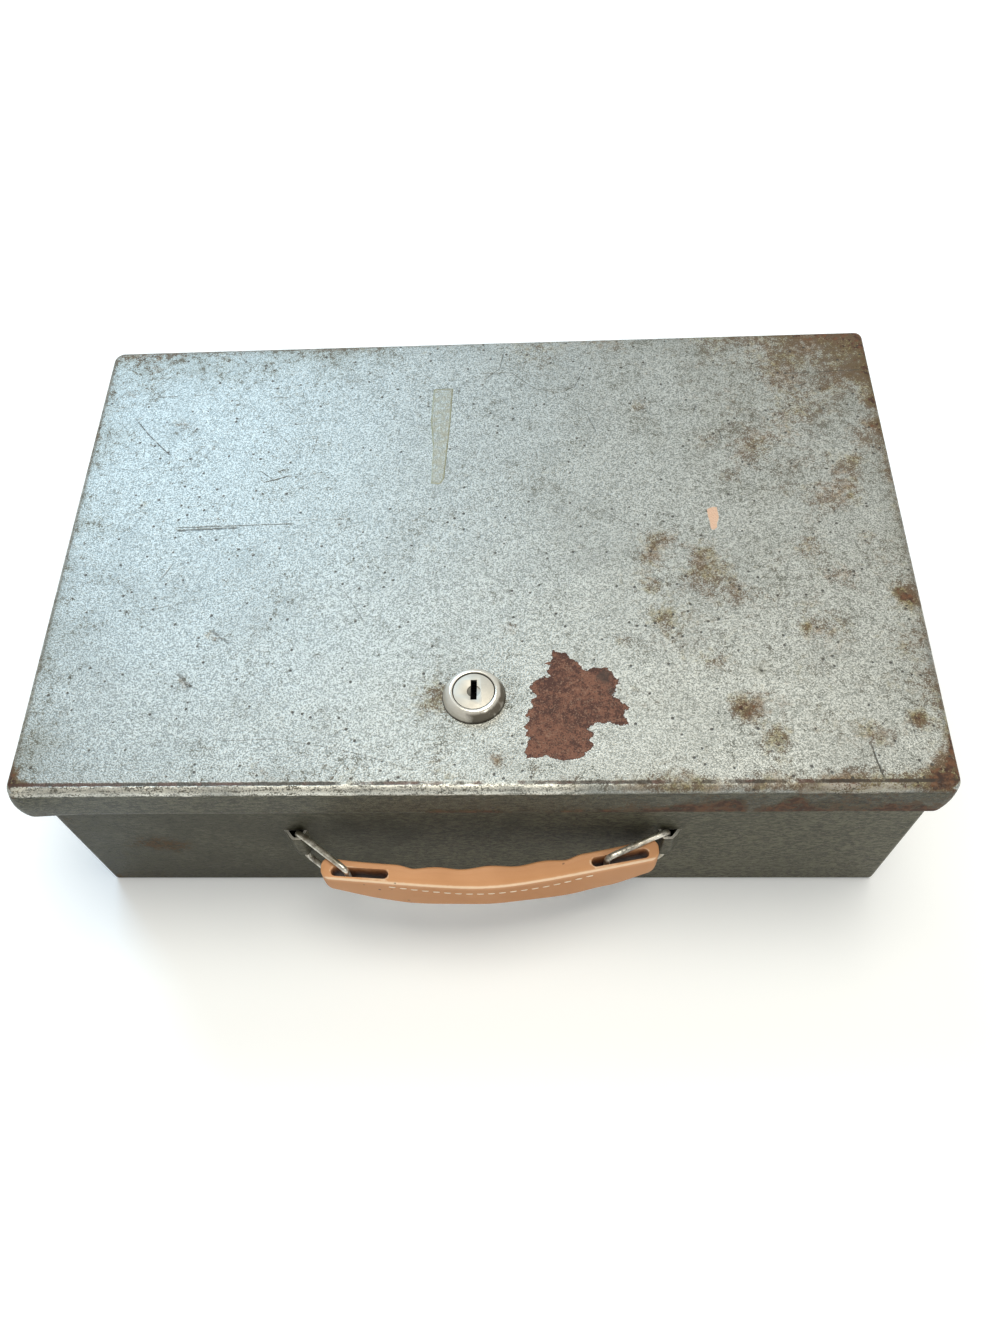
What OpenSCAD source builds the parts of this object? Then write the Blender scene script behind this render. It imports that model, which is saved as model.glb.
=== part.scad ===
// Steel deed box: a shallow folded tray with welded ends, an overlapping lid on a
// full-length hinge, a cam lock through the lid's top, and a moulded handle that
// hangs by two wire links from lances pushed out of the front panel.
// The origin is the centre of the tray's underside: +X right, +Y back, +Z up.

/* [Box] */
// Width of the base over its end panels
base_w = 316; // [300:1:360]
// Depth of the base over its front and rear panels
base_d = 209; // [200:1:240]
// Height of the base's rim
base_h = 90.5; // [88:0.5:100]
// Thickness of the sheet steel
sheet_t = 1; // [0.8:0.1:1.2]
// Height of the folded hem inside the base's rim
hem_h = 8; // [5:0.5:8]
// Width of the inward flanges on the end panels
end_flange = 10; // [8:1:14]

/* [Lid] */
// How far the lid stands out past the base on each side
lid_overhang = 4; // [4:0.1:4.4]
// Sideways play of the lid in its hinge, as it lies closed
lid_shift = -1.5; // [-1.5:0.1:1.5]
// Gap between the base's rim and the underside of the lid
lid_gap = 0.5; // [0.3:0.1:1]
// Height of the lid over its flanges
lid_h = 18; // [17.5:0.1:19]
// Corner radius of the lid, seen from above
lid_r = 5; // [3:0.5:6]

/* [Hinge] */
// Length of the hinge
hinge_len = 300; // [250:50:300]
// Number of knuckles along the hinge, an even number
knuckles = 12; // [8:2:12]
// Diameter of the hinge pin
pin_d = 2; // [1.6:0.1:2]
// Thickness of the hinge leaves
leaf_t = 0.8; // [0.6:0.1:0.8]
// Height of each leaf above the pin
leaf_h = 14; // [10:1:14]

/* [Lock] */
// Position of the lock across the lid
lock_x = -1.1; // [-10:0.1:10]
// Position of the lock front to back
lock_y = -71.5; // [-72.5:0.1:-71]
// Diameter of the bezel on the lid
bezel_d = 22.4; // [21:0.1:24]
// Diameter of the plug's face
plug_d = 14.6; // [14.2:0.1:14.6]
// Length of the keyway
key_len = 8.1; // [7:0.1:8.3]
// Width of the keyway
key_w = 2.2; // [1.6:0.1:2.4]
// Reach of the cam from the lock's axis
cam_len = 29.5; // [26:0.5:29.5]

/* [Handle] */
// Length of the moulded handle
handle_len = 125; // [124:0.5:127]
// Depth of the handle where the links pass under it
end_h = 18.8; // [16:0.1:18.8]
// Extra depth of the belly under the middle of the handle
belly = 1.6; // [0:0.1:4]
// Height of the handle's flat top above the ground
handle_z = 50.6; // [50.4:0.1:50.7]
// Depth of the finger scallops on the inner edge
scallop = 0.45; // [0:0.05:0.8]
// Diameter of the wire in the links
wire_d = 2.4; // [2:0.1:2.4]
// Distance between the two legs of a link
link_len = 24.9; // [24.6:0.1:25.2]
// Distance between the upper and lower strands of a link
link_h = 22.3; // [22:0.1:22.4]

/* [Hidden] */
$fn = 64;
t = sheet_t;
bw = base_w / 2;
bd = base_d / 2;
lid_top = base_h + lid_gap + t;         // upper face of the lid
lid_bot = lid_top - lid_h;              // lower edge of the lid's flanges
lw = bw + lid_overhang;
ld = bd + lid_overhang;
// hinge axis: behind the rear panel, just under the lid's rear flange
pin_y = bd + 2;
pin_z = lid_bot - 2.1;
knuckle_r = pin_d / 2 + leaf_t;
pitch = hinge_len / knuckles;
// lances: bridges sheared out of the front panel, with openings above and below
lance_x = 69;
lance_z0 = 36.5;
lance_z1 = 51;
lance_out = 4;
link_y = -bd - 1.4;                     // axis of the link's leg inside its lance
strand_z = 52.3;                        // upper strand of the links
bend_r = 2.2;                           // centreline radius of the wire's corners
left_a = 37.7;                          // angle of the left link from the front panel
right_a = 25.12;                        // angle of the right link from the front panel
// handle: its middle, and its slight skew as it hangs
handle_x = 3.3;
handle_y = -bd - 13.8;
handle_yaw = 3.5;
slot_u = 48;
slot_len = 21.5;
slot_w = 3.8;
slot_off = -0.2;                        // the slots' middles, across the handle
slot_tilt = 7.2;                        // the slots follow the handle's bow
// lock stack, from the bezel down to the screw's head
barrel_r = 9.5;
flat_half = 8.1;
bore_r = plug_d / 2 + 0.1;
key_off = 0.6;                          // the keyway lies a little behind the middle
barrel_bot = lid_top - 12.4;
stop_bot = barrel_bot - 0.2;
plug_bot = stop_bot + 0.8;
cam_top = stop_bot;
cam_t = 1.6;
cam_bot = cam_top - cam_t;
washer_bot = cam_bot - 0.8;
wafer_zs = [for (i = [0:3]) lid_top + 1 - 1.6 * i];
strike_z = cam_top + 0.5;               // underside of the strike's ledge
strike_t = 1.2;

function smooth(a, b, x) = let (k = max(0, min(1, (x - a) / (b - a)))) k * k * (3 - 2 * k);

module block(x0, x1, y0, y1, z0, z1) {
    translate([x0, y0, z0]) cube([x1 - x0, y1 - y0, z1 - z0]);
}

// a rectangle with round corners, drawn without hull so that its corners stay true arcs
module round_rect(hx, hy, r) {
    square([2 * (hx - r), 2 * hy], center = true);
    square([2 * hx, 2 * (hy - r)], center = true);
    for (sx = [-1, 1], sy = [-1, 1])
        translate([sx * (hx - r), sy * (hy - r)]) circle(r);
}

// ---- base ---------------------------------------------------------------

// the bridge of one lance, seen from above: a long shoulder away from the
// handle and a steep one towards it
module lance_bridge() {
    o = lance_out;
    k = 0.4142 * t;
    q = 0.604 * t;
    polygon([[-4.4, t], [-4.4, 0], [-3.6, 0], [-1.5, -o], [1.4, -o], [1.4 + o, 0],
        [6.4, 0], [6.4, t], [1.4 - k + o, t], [1.4 - k, t - o], [-1.5 + q, t - o],
        [-3.6 + q, t]]);
}

// front, bottom and rear in one folded sheet, with hemmed rims and two lances
module base_tray() color([0.44, 0.46, 0.42]) {
    difference() {
        union() {
            rotate([90, 0, 90]) linear_extrude(base_w, center = true)
                polygon([[-bd, 0], [bd, 0], [bd, base_h], [bd - t, base_h], [bd - t, t],
                    [t - bd, t], [t - bd, base_h], [-bd, base_h]]);
            for (s = [-1, 1])
                block(t - bw, bw - t, s > 0 ? bd - 2 * t : t - bd, s > 0 ? bd - t : 2 * t - bd,
                    base_h - hem_h, base_h);
        }
        for (s = [0, 1]) mirror([s, 0, 0])
            block(lance_x - 3.3, lance_x + 5.2, -bd - 1, -bd + t + 0.5, lance_z0, lance_z1);
    }
    for (s = [0, 1]) mirror([s, 0, 0])
        translate([lance_x, -bd, lance_z0]) linear_extrude(lance_z1 - lance_z0) lance_bridge();
}

// one end of the tray: a flat panel with three inward flanges and a hemmed rim
module end_panel(s) color([0.48, 0.5, 0.46]) mirror([s > 0 ? 1 : 0, 0, 0]) {
    block(-bw, t - bw, t - bd, bd - t, t, base_h);
    block(-bw, end_flange - bw, t - bd, bd - t, t, 2 * t);
    block(-bw, end_flange - bw, t - bd, 2 * t - bd, t, base_h - hem_h - 0.5);
    block(-bw, end_flange - bw, bd - 2 * t, bd - t, t, base_h - hem_h - 0.5);
    block(-bw, 2 * t - bw, 2 * t - bd, bd - 2 * t, base_h - hem_h, base_h);
}
module left_end_panel() end_panel(-1);
module right_end_panel() end_panel(1);

// angle bracket welded inside the front panel: the cam turns in under its ledge
module strike_plate() color([0.5, 0.5, 0.48]) translate([lock_x, 0, 0]) {
    block(-20, 20, t - bd, t - bd + strike_t, strike_z - 14, strike_z + strike_t);
    block(-20, 20, t - bd, t - bd + 13.5, strike_z, strike_z + strike_t);
}

// ---- hinge --------------------------------------------------------------

module knuckle(i) {
    translate([-hinge_len / 2 + i * pitch + 0.15, pin_y, pin_z]) rotate([0, 90, 0])
        cylinder(r = knuckle_r, h = pitch - 0.3);
}
module pin_bore() {
    translate([-hinge_len / 2 - 1, pin_y, pin_z]) rotate([0, 90, 0])
        cylinder(d = pin_d + 0.1, h = hinge_len + 2);
}

// leaf on the outside of the rear panel, inside the lid's flange
module hinge_base_leaf() color([0.42, 0.42, 0.4]) difference() {
    union() {
        block(-hinge_len / 2, hinge_len / 2, bd, bd + leaf_t, pin_z + 2.1, pin_z + leaf_h);
        for (i = [0:2:knuckles - 1]) {
            knuckle(i);
            block(-hinge_len / 2 + i * pitch + 0.15, -hinge_len / 2 + (i + 1) * pitch - 0.15,
                bd, bd + leaf_t, pin_z, pin_z + 2.2);
        }
    }
    pin_bore();
}

// leaf on the inside of the lid's rear flange
module hinge_lid_leaf() color([0.45, 0.45, 0.43]) difference() {
    union() {
        block(-hinge_len / 2, hinge_len / 2, ld - t - leaf_t, ld - t, pin_z + 2.1, pin_z + leaf_h);
        for (i = [1:2:knuckles - 1]) {
            knuckle(i);
            block(-hinge_len / 2 + i * pitch + 0.15, -hinge_len / 2 + (i + 1) * pitch - 0.15,
                ld - t - leaf_t, ld - t, pin_z, pin_z + 2.2);
        }
    }
    pin_bore();
}

module hinge_pin() color([0.6, 0.6, 0.58])
    translate([-hinge_len / 2 - 0.5, pin_y, pin_z]) rotate([0, 90, 0])
        cylinder(d = pin_d, h = hinge_len + 1);

// ---- lid ----------------------------------------------------------------

// the outline of the lock's hole and barrel: a circle with two flats
module flatted(r, half, h) intersection() {
    cylinder(r = r, h = h);
    translate([-2 * r, -half, -1]) cube([4 * r, 2 * half, h + 2]);
}

// one sheet with four folded flanges, its corners welded and ground round
module lid_shell() color([0.66, 0.7, 0.68]) difference() {
    translate([lid_shift, 0, lid_bot]) linear_extrude(lid_h) round_rect(lw, ld, lid_r);
    translate([lid_shift, 0, lid_bot - 1]) linear_extrude(lid_h - t + 1)
        round_rect(lw - t, ld - t, lid_r - t);
    translate([lock_x, lock_y, lid_top - t - 1]) flatted(barrel_r + 0.1, flat_half + 0.1, t + 2);
}

// ---- lock ---------------------------------------------------------------

// bezel and threaded barrel in one turned piece; the lower rim is cut away for the stop
module lock_housing() color([0.72, 0.71, 0.68]) translate([lock_x, lock_y, 0]) difference() {
    union() {
        rotate_extrude($fn = 96) polygon([[0, lid_top], [bezel_d / 2, lid_top],
            [bezel_d / 2, lid_top + 0.5], [bezel_d / 2 - 0.3, lid_top + 1.4],
            [bezel_d / 2 - 0.9, lid_top + 2.5], [bezel_d / 2 - 1.8, lid_top + 3.5],
            [bezel_d / 2 - 2.6, lid_top + 4.1], [bezel_d / 2 - 3.2, lid_top + 4.2],
            [0, lid_top + 4.2]]);
        translate([0, 0, barrel_bot]) flatted(barrel_r, flat_half, lid_top - barrel_bot + 0.2);
    }
    translate([0, 0, barrel_bot - 1]) cylinder(r = bore_r, h = 30);
    translate([0, 0, barrel_bot - 1]) linear_extrude(2) polygon([for (a = [152:7:299])
        12 * [cos(a), sin(a)], [0, 0]]);
}

// thin hexagonal nut that clamps the housing to the lid
module lock_nut() color([0.55, 0.54, 0.5]) translate([lock_x, lock_y, lid_top - t - 3]) difference() {
    cylinder(r = 24 / 2 / cos(30), h = 3, $fn = 6);
    translate([0, 0, -1]) cylinder(r = barrel_r + 0.05, h = 5);
}

// the turning plug, with a shallow round recess, keyway, wafer slots, spring pockets and square tail
module lock_plug() color([0.74, 0.7, 0.64]) translate([lock_x, lock_y, 0]) difference() {
    union() {
        translate([0, 0, plug_bot]) cylinder(d = plug_d, h = lid_top + 3.7 - plug_bot);
        block(-2.8, 2.8, -2.8, 2.8, cam_bot + 0.2, plug_bot + 0.1);
    }
    block(-key_w / 2, key_w / 2, key_off - key_len / 2, key_off + key_len / 2, lid_top - 5.6, lid_top + 5);
    translate([0, 0, lid_top + 3.2]) cylinder(r = 2.4, h = 2);
    translate([0, 0, cam_bot - 1]) cylinder(r = 2, h = 8.6);
    for (z = wafer_zs) {
        block(-2.5, 2.5, -9, 9, z - 0.5, z + 0.5);
        block(2.4, 4.1, -1.8, 1.8, z - 0.5, z + 0.5);
    }
}

// flat wafers that the key lifts flush with the plug
module lock_wafers() color([0.8, 0.68, 0.4]) translate([lock_x, lock_y, 0])
    for (z = wafer_zs) difference() {
        intersection() {
            block(-2.4, 2.4, -9, 9, z - 0.4, z + 0.4);
            translate([0, 0, z - 1]) cylinder(d = plug_d - 0.2, h = 2);
        }
        block(-key_w / 2 - 0.1, key_w / 2 + 0.1, key_off - key_len / 2 - 0.1, key_off + key_len / 2 + 0.1, z - 1, z + 1);
    }

// one small coil spring beside each wafer, drawn as its outer cylinder
module wafer_springs() color([0.6, 0.6, 0.62]) translate([lock_x, lock_y, 0])
    for (z = wafer_zs) translate([3.3, -1.6, z]) rotate([-90, 0, 0]) cylinder(r = 0.45, h = 3.2, $fn = 24);

module square_hole(z0, z1) { block(-2.85, 2.85, -2.85, 2.85, z0, z1); }

// washer on the plug's tail, with a tab that stops the plug after a quarter turn
module stop_washer() color([0.6, 0.6, 0.57]) translate([lock_x, lock_y, 0]) difference() {
    union() {
        translate([0, 0, stop_bot]) cylinder(r = 6.9, h = 0.8);
        block(-8, 0, -2, 2, stop_bot, stop_bot + 0.8);
    }
    square_hole(stop_bot - 1, stop_bot + 2);
}

// flat cam: unlocked it points left, locked it reaches forward under the strike
module lock_cam() color([0.58, 0.58, 0.55]) translate([lock_x, lock_y, 0]) difference() {
    union() {
        translate([0, 0, cam_bot]) cylinder(r = 8, h = cam_t);
        block(6.5 - cam_len, 0, -6.5, 6.5, cam_bot, cam_top);
        translate([6.5 - cam_len, 0, cam_bot]) cylinder(r = 6.5, h = cam_t);
    }
    square_hole(cam_bot - 1, cam_top + 1);
}

module cam_washer() color([0.62, 0.62, 0.6]) translate([lock_x, lock_y, washer_bot]) difference() {
    cylinder(r = 5, h = 0.8);
    translate([0, 0, -1]) cylinder(r = 2.2, h = 3);
}

// pan-head screw up into the plug's tail, with a cross slot
module cam_screw() color([0.66, 0.66, 0.62]) translate([lock_x, lock_y, 0]) difference() {
    union() {
        translate([0, 0, washer_bot - 2.2]) cylinder(r1 = 3.2, r2 = 4, h = 0.8);
        translate([0, 0, washer_bot - 1.4]) cylinder(r = 4, h = 1.4);
        translate([0, 0, washer_bot - 0.1]) cylinder(r = 1.95, h = 8);
    }
    block(-2.6, 2.6, -0.4, 0.4, washer_bot - 3, washer_bot - 1.2);
    block(-0.4, 0.4, -2.6, 2.6, washer_bot - 3, washer_bot - 1.2);
}

// ---- handle -------------------------------------------------------------

// one corner of a link: a quarter of a ring
module wire_bend() rotate([90, 0, 0]) rotate_extrude(angle = 90, $fn = 48)
    translate([bend_r, 0]) circle(d = wire_d, $fn = 32);

// a rectangular link of round wire; its ends butt in the middle of the lower strand
module wire_link() difference() {
    r = bend_r;
    lo = strand_z - link_h;
    union() {
        for (x = [0, link_len]) translate([x, 0, lo + r]) cylinder(d = wire_d, h = link_h - 2 * r);
        for (z = [lo, strand_z]) translate([r, 0, z]) rotate([0, 90, 0])
            cylinder(d = wire_d, h = link_len - 2 * r);
        translate([link_len - r, 0, strand_z - r]) wire_bend();
        translate([r, 0, strand_z - r]) mirror([1, 0, 0]) wire_bend();
        translate([link_len - r, 0, lo + r]) mirror([0, 0, 1]) wire_bend();
        translate([r, 0, lo + r]) mirror([0, 0, 1]) mirror([1, 0, 0]) wire_bend();
    }
    block(link_len * 0.42, link_len * 0.42 + 0.25, -3, 3, lo - 3, lo + 3);
}
module left_link() color([0.5, 0.48, 0.42]) translate([-lance_x, link_y, 0])
    rotate([0, 0, -left_a]) wire_link();
module right_link() color([0.5, 0.48, 0.42]) translate([lance_x, link_y, 0])
    rotate([0, 0, 180 + right_a]) wire_link();

// plan of the handle: u runs along it, the first function is its edge towards the
// panel, with finger scallops, and the second its bowed outer edge
function grip_in(u) = -0.6 + 0.00175 * u * u + smooth(28, 35, abs(u))
    + scallop * cos(18 * u) * (1 - smooth(26, 33, abs(u)));
function grip_out(u) = -9.1 + 0.155 * (sqrt(u * u + 225) - 15);
// underside of the handle: deepest in the middle, rising to the ends
function grip_bot(u) = handle_z - end_h - belly * (1 - smooth(30, 42, abs(u)))
    + 6 * smooth(44, 64, abs(u));

module handle_grip() color([0.8, 0.58, 0.42])
    translate([handle_x, handle_y, 0]) rotate([0, 0, handle_yaw]) difference() {
        hu = handle_len / 2;
        intersection() {
            translate([0, 0, handle_z - 24]) linear_extrude(24) polygon(concat(
                [for (u = [-hu + 3.5:2.5:hu - 3.5]) [u, grip_in(u)]],
                [[hu - 3.5, grip_in(hu - 3.5)], [hu - 1, grip_in(hu) - 1.4], [hu, grip_in(hu) - 3.6],
                    [hu, grip_out(hu) + 3], [hu - 1, grip_out(hu) + 1], [hu - 3, grip_out(hu - 3)]],
                [for (u = [hu - 6:-4:-hu + 6]) [u, grip_out(u)]],
                [[3 - hu, grip_out(hu - 3)], [1 - hu, grip_out(hu) + 1], [-hu, grip_out(hu) + 3],
                    [-hu, grip_in(hu) - 3.6], [1 - hu, grip_in(hu) - 1.4]]));
            rotate([90, 0, 0]) linear_extrude(60, center = true) polygon(concat(
                [[-hu - 2, handle_z], [-hu - 2, grip_bot(hu)]],
                [for (u = [-60:3:60]) [u, grip_bot(u)]],
                [[hu + 2, grip_bot(hu)], [hu + 2, handle_z]]));
        }
        for (s = [-1, 1]) translate([s * slot_u, slot_off, handle_z - 30]) rotate([0, 0, s * slot_tilt]) {
            e = (slot_len - slot_w) / 2;
            for (x = [-e, e]) translate([x, 0, 0]) cylinder(d = slot_w, h = 40, $fn = 32);
            block(-e, e, -slot_w / 2, slot_w / 2, 0, 40);
        }
    }

base_tray();
left_end_panel();
right_end_panel();
strike_plate();
hinge_base_leaf();
hinge_pin();
lid_shell();
hinge_lid_leaf();
lock_housing();
lock_nut();
lock_plug();
lock_wafers();
wafer_springs();
stop_washer();
lock_cam();
cam_washer();
cam_screw();
left_link();
right_link();
handle_grip();
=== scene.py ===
import math

import bmesh
import bpy
import numpy as np
from mathutils import Matrix, Vector, noise


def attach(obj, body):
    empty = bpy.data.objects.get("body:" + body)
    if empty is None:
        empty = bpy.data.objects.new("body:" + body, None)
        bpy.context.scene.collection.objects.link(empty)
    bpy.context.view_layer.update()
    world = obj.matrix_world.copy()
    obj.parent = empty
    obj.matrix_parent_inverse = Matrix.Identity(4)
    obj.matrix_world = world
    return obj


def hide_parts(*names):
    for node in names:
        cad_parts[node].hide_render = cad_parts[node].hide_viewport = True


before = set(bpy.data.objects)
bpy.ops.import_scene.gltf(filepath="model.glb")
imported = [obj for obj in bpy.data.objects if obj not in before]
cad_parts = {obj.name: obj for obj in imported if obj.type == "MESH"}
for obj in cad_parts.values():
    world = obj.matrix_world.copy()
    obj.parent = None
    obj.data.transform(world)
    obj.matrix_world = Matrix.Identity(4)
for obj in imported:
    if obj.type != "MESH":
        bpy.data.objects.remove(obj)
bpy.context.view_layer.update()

MM = 0.001
scene = bpy.context.scene
scene.view_settings.view_transform = "Standard"

# ---------------------------------------------------------------- camera
# Solved from the box's edges; millimetres in the part's frame.
CAM = np.array([17.346, -258.49, 398.88])
FOCAL, PX, PY = 1018.6, 470.0, 769.8            # in pixels of the 1000 x 1333 frame
pitch, yaw, roll = (math.radians(a) for a in (62.582, -6.968, -6.542))
fwd = np.array([math.sin(yaw) * math.cos(pitch), math.cos(yaw) * math.cos(pitch), -math.sin(pitch)])
r0 = np.array([math.cos(yaw), -math.sin(yaw), 0.0])
u0 = np.cross(r0, fwd)
right = math.cos(roll) * r0 + math.sin(roll) * u0
up = -math.sin(roll) * r0 + math.cos(roll) * u0

cam_data = bpy.data.cameras.new("camera")
cam_data.sensor_fit = "AUTO"
cam_data.sensor_width = 36.0
cam_data.lens = FOCAL / 1333 * 36
cam_data.shift_x = (500 - PX) / 1333
cam_data.shift_y = (PY - 666.5) / 1333
cam_data.clip_start = 0.01
camera = bpy.data.objects.new("camera", cam_data)
scene.collection.objects.link(camera)
camera.matrix_world = Matrix((
    (right[0], up[0], -fwd[0], CAM[0] * MM),
    (right[1], up[1], -fwd[1], CAM[1] * MM),
    (right[2], up[2], -fwd[2], CAM[2] * MM),
    (0, 0, 0, 1)))
scene.camera = camera


def ray(px, py):
    return fwd + right * (px - PX) / FOCAL - up * (py - PY) / FOCAL


def on_z(px, py, z=92.0):
    """The point of the plane z seen at a pixel, in mm."""
    d = ray(px, py)
    return CAM + (z - CAM[2]) / d[2] * d


def on_y(px, py, y=-108.5):
    d = ray(px, py)
    return CAM + (y - CAM[1]) / d[1] * d


# ---------------------------------------------------------------- mesh helpers
def make(name, verts, faces, body, replaces=(), smooth_deg=35):
    me = bpy.data.meshes.new(name)
    me.from_pydata([tuple(float(c) * MM for c in v) for v in verts], [], [tuple(f) for f in faces])
    bm = bmesh.new()
    bm.from_mesh(me)
    bmesh.ops.recalc_face_normals(bm, faces=bm.faces)
    bm.to_mesh(me)
    bm.free()
    return place(name, me, body, replaces, smooth_deg)


def place(name, me, body, replaces=(), smooth_deg=35):
    ob = bpy.data.objects.new(name, me)
    scene.collection.objects.link(ob)
    soften(me, smooth_deg)
    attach(ob, body)
    if replaces:
        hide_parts(*replaces)
    return ob


def soften(me, degrees=35):
    me.polygons.foreach_set("use_smooth", [True] * len(me.polygons))
    me.set_sharp_from_angle(angle=math.radians(degrees))


def apply_mods(ob):
    """Turns the object's modifiers into plain mesh."""
    dg = bpy.context.evaluated_depsgraph_get()
    me = bpy.data.meshes.new_from_object(ob.evaluated_get(dg), preserve_all_data_layers=True, depsgraph=dg)
    old = ob.data
    ob.modifiers.clear()
    ob.data = me
    bpy.data.meshes.remove(old)


def paint_floats(me, **layers):
    for key, values in layers.items():
        a = me.attributes.new(key, "FLOAT", "POINT")
        a.data.foreach_set("value", np.asarray(values, np.float32))


def coords(me):
    v = np.empty(len(me.vertices) * 3, np.float32)
    me.vertices.foreach_get("co", v)
    return v.reshape(-1, 3) / MM


def bevelled(ob, width, angle=40, segments=2):
    b = ob.modifiers.new("edge", "BEVEL")
    b.width = width * MM
    b.segments = segments
    b.limit_method = "ANGLE"
    b.angle_limit = math.radians(angle)
    b.use_clamp_overlap = True
    b.harden_normals = False
    apply_mods(ob)
    soften(ob.data, 35)


def cut(ob, tools, operation="DIFFERENCE"):
    for tool in tools:
        m = ob.modifiers.new("cut", "BOOLEAN")
        m.operation = operation
        m.solver = "EXACT"
        m.object = tool
        apply_mods(ob)
        me = tool.data
        bpy.data.objects.remove(tool)
        bpy.data.meshes.remove(me)


def tool_box(x0, x1, y0, y1, z0, z1):
    me = bpy.data.meshes.new("tool")
    v = [(x * MM, y * MM, z * MM) for x in (x0, x1) for y in (y0, y1) for z in (z0, z1)]
    me.from_pydata(v, [], [(0, 1, 3, 2), (4, 6, 7, 5), (0, 4, 5, 1), (2, 3, 7, 6), (0, 2, 6, 4), (1, 5, 7, 3)])
    ob = bpy.data.objects.new("tool", me)
    scene.collection.objects.link(ob)
    return ob


def lathe(profile, centre, sides=96, closed=True):
    """Turns (radius, z) points about a vertical axis."""
    v, f = [], []
    n = len(profile)
    for k in range(sides):
        a = 2 * math.pi * k / sides
        for r, z in profile:
            v.append((centre[0] + r * math.cos(a), centre[1] + r * math.sin(a), z))
    for k in range(sides):
        j = (k + 1) % sides
        for i in range(n if closed else n - 1):
            h = (i + 1) % n
            f.append((k * n + i, j * n + i, j * n + h, k * n + h))
    return v, f


def tube(path, radius, sides=20, wobble=0.0, seed=0.0):
    """A round wire along an open path of mm points, with slightly domed ends."""
    p = np.asarray(path, float)
    t = np.gradient(p, axis=0)
    t /= np.linalg.norm(t, axis=1)[:, None]
    ref = np.cross(t[0], [0.3, 0.2, 1.0])
    v, f = [], []
    ends = [0.55, 0.85]
    rows = []
    for i in range(len(p)):
        ref = ref - t[i] * (ref @ t[i])
        ref /= np.linalg.norm(ref)
        b = np.cross(t[i], ref)
        rows.append((p[i], ref.copy(), b, 1.0))
    first = [(p[0] - t[0] * radius * d, rows[0][1], rows[0][2], s) for d, s in ((0.28, 0.6), (0.12, 0.9))]
    last = [(p[-1] + t[-1] * radius * d, rows[-1][1], rows[-1][2], s) for d, s in ((0.12, 0.9), (0.28, 0.6))]
    rows = first + rows + last
    for q, a, b, s in rows:
        for k in range(sides):
            w = 2 * math.pi * k / sides
            d = a * math.cos(w) + b * math.sin(w)
            r = radius * s
            if wobble:
                r *= 1 + wobble * noise.noise(Vector((q + d * radius) * 0.55 + seed))
            v.append(q + d * r)
    m = len(rows)
    for i in range(m - 1):
        for k in range(sides):
            j = (k + 1) % sides
            f.append((i * sides + k, i * sides + j, (i + 1) * sides + j, (i + 1) * sides + k))
    f.append(tuple(range(sides)))
    f.append(tuple((m - 1) * sides + k for k in range(sides)))
    return v, f


def step(a, b, x):
    k = np.clip((x - a) / (b - a), 0, 1)
    return k * k * (3 - 2 * k)


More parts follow.
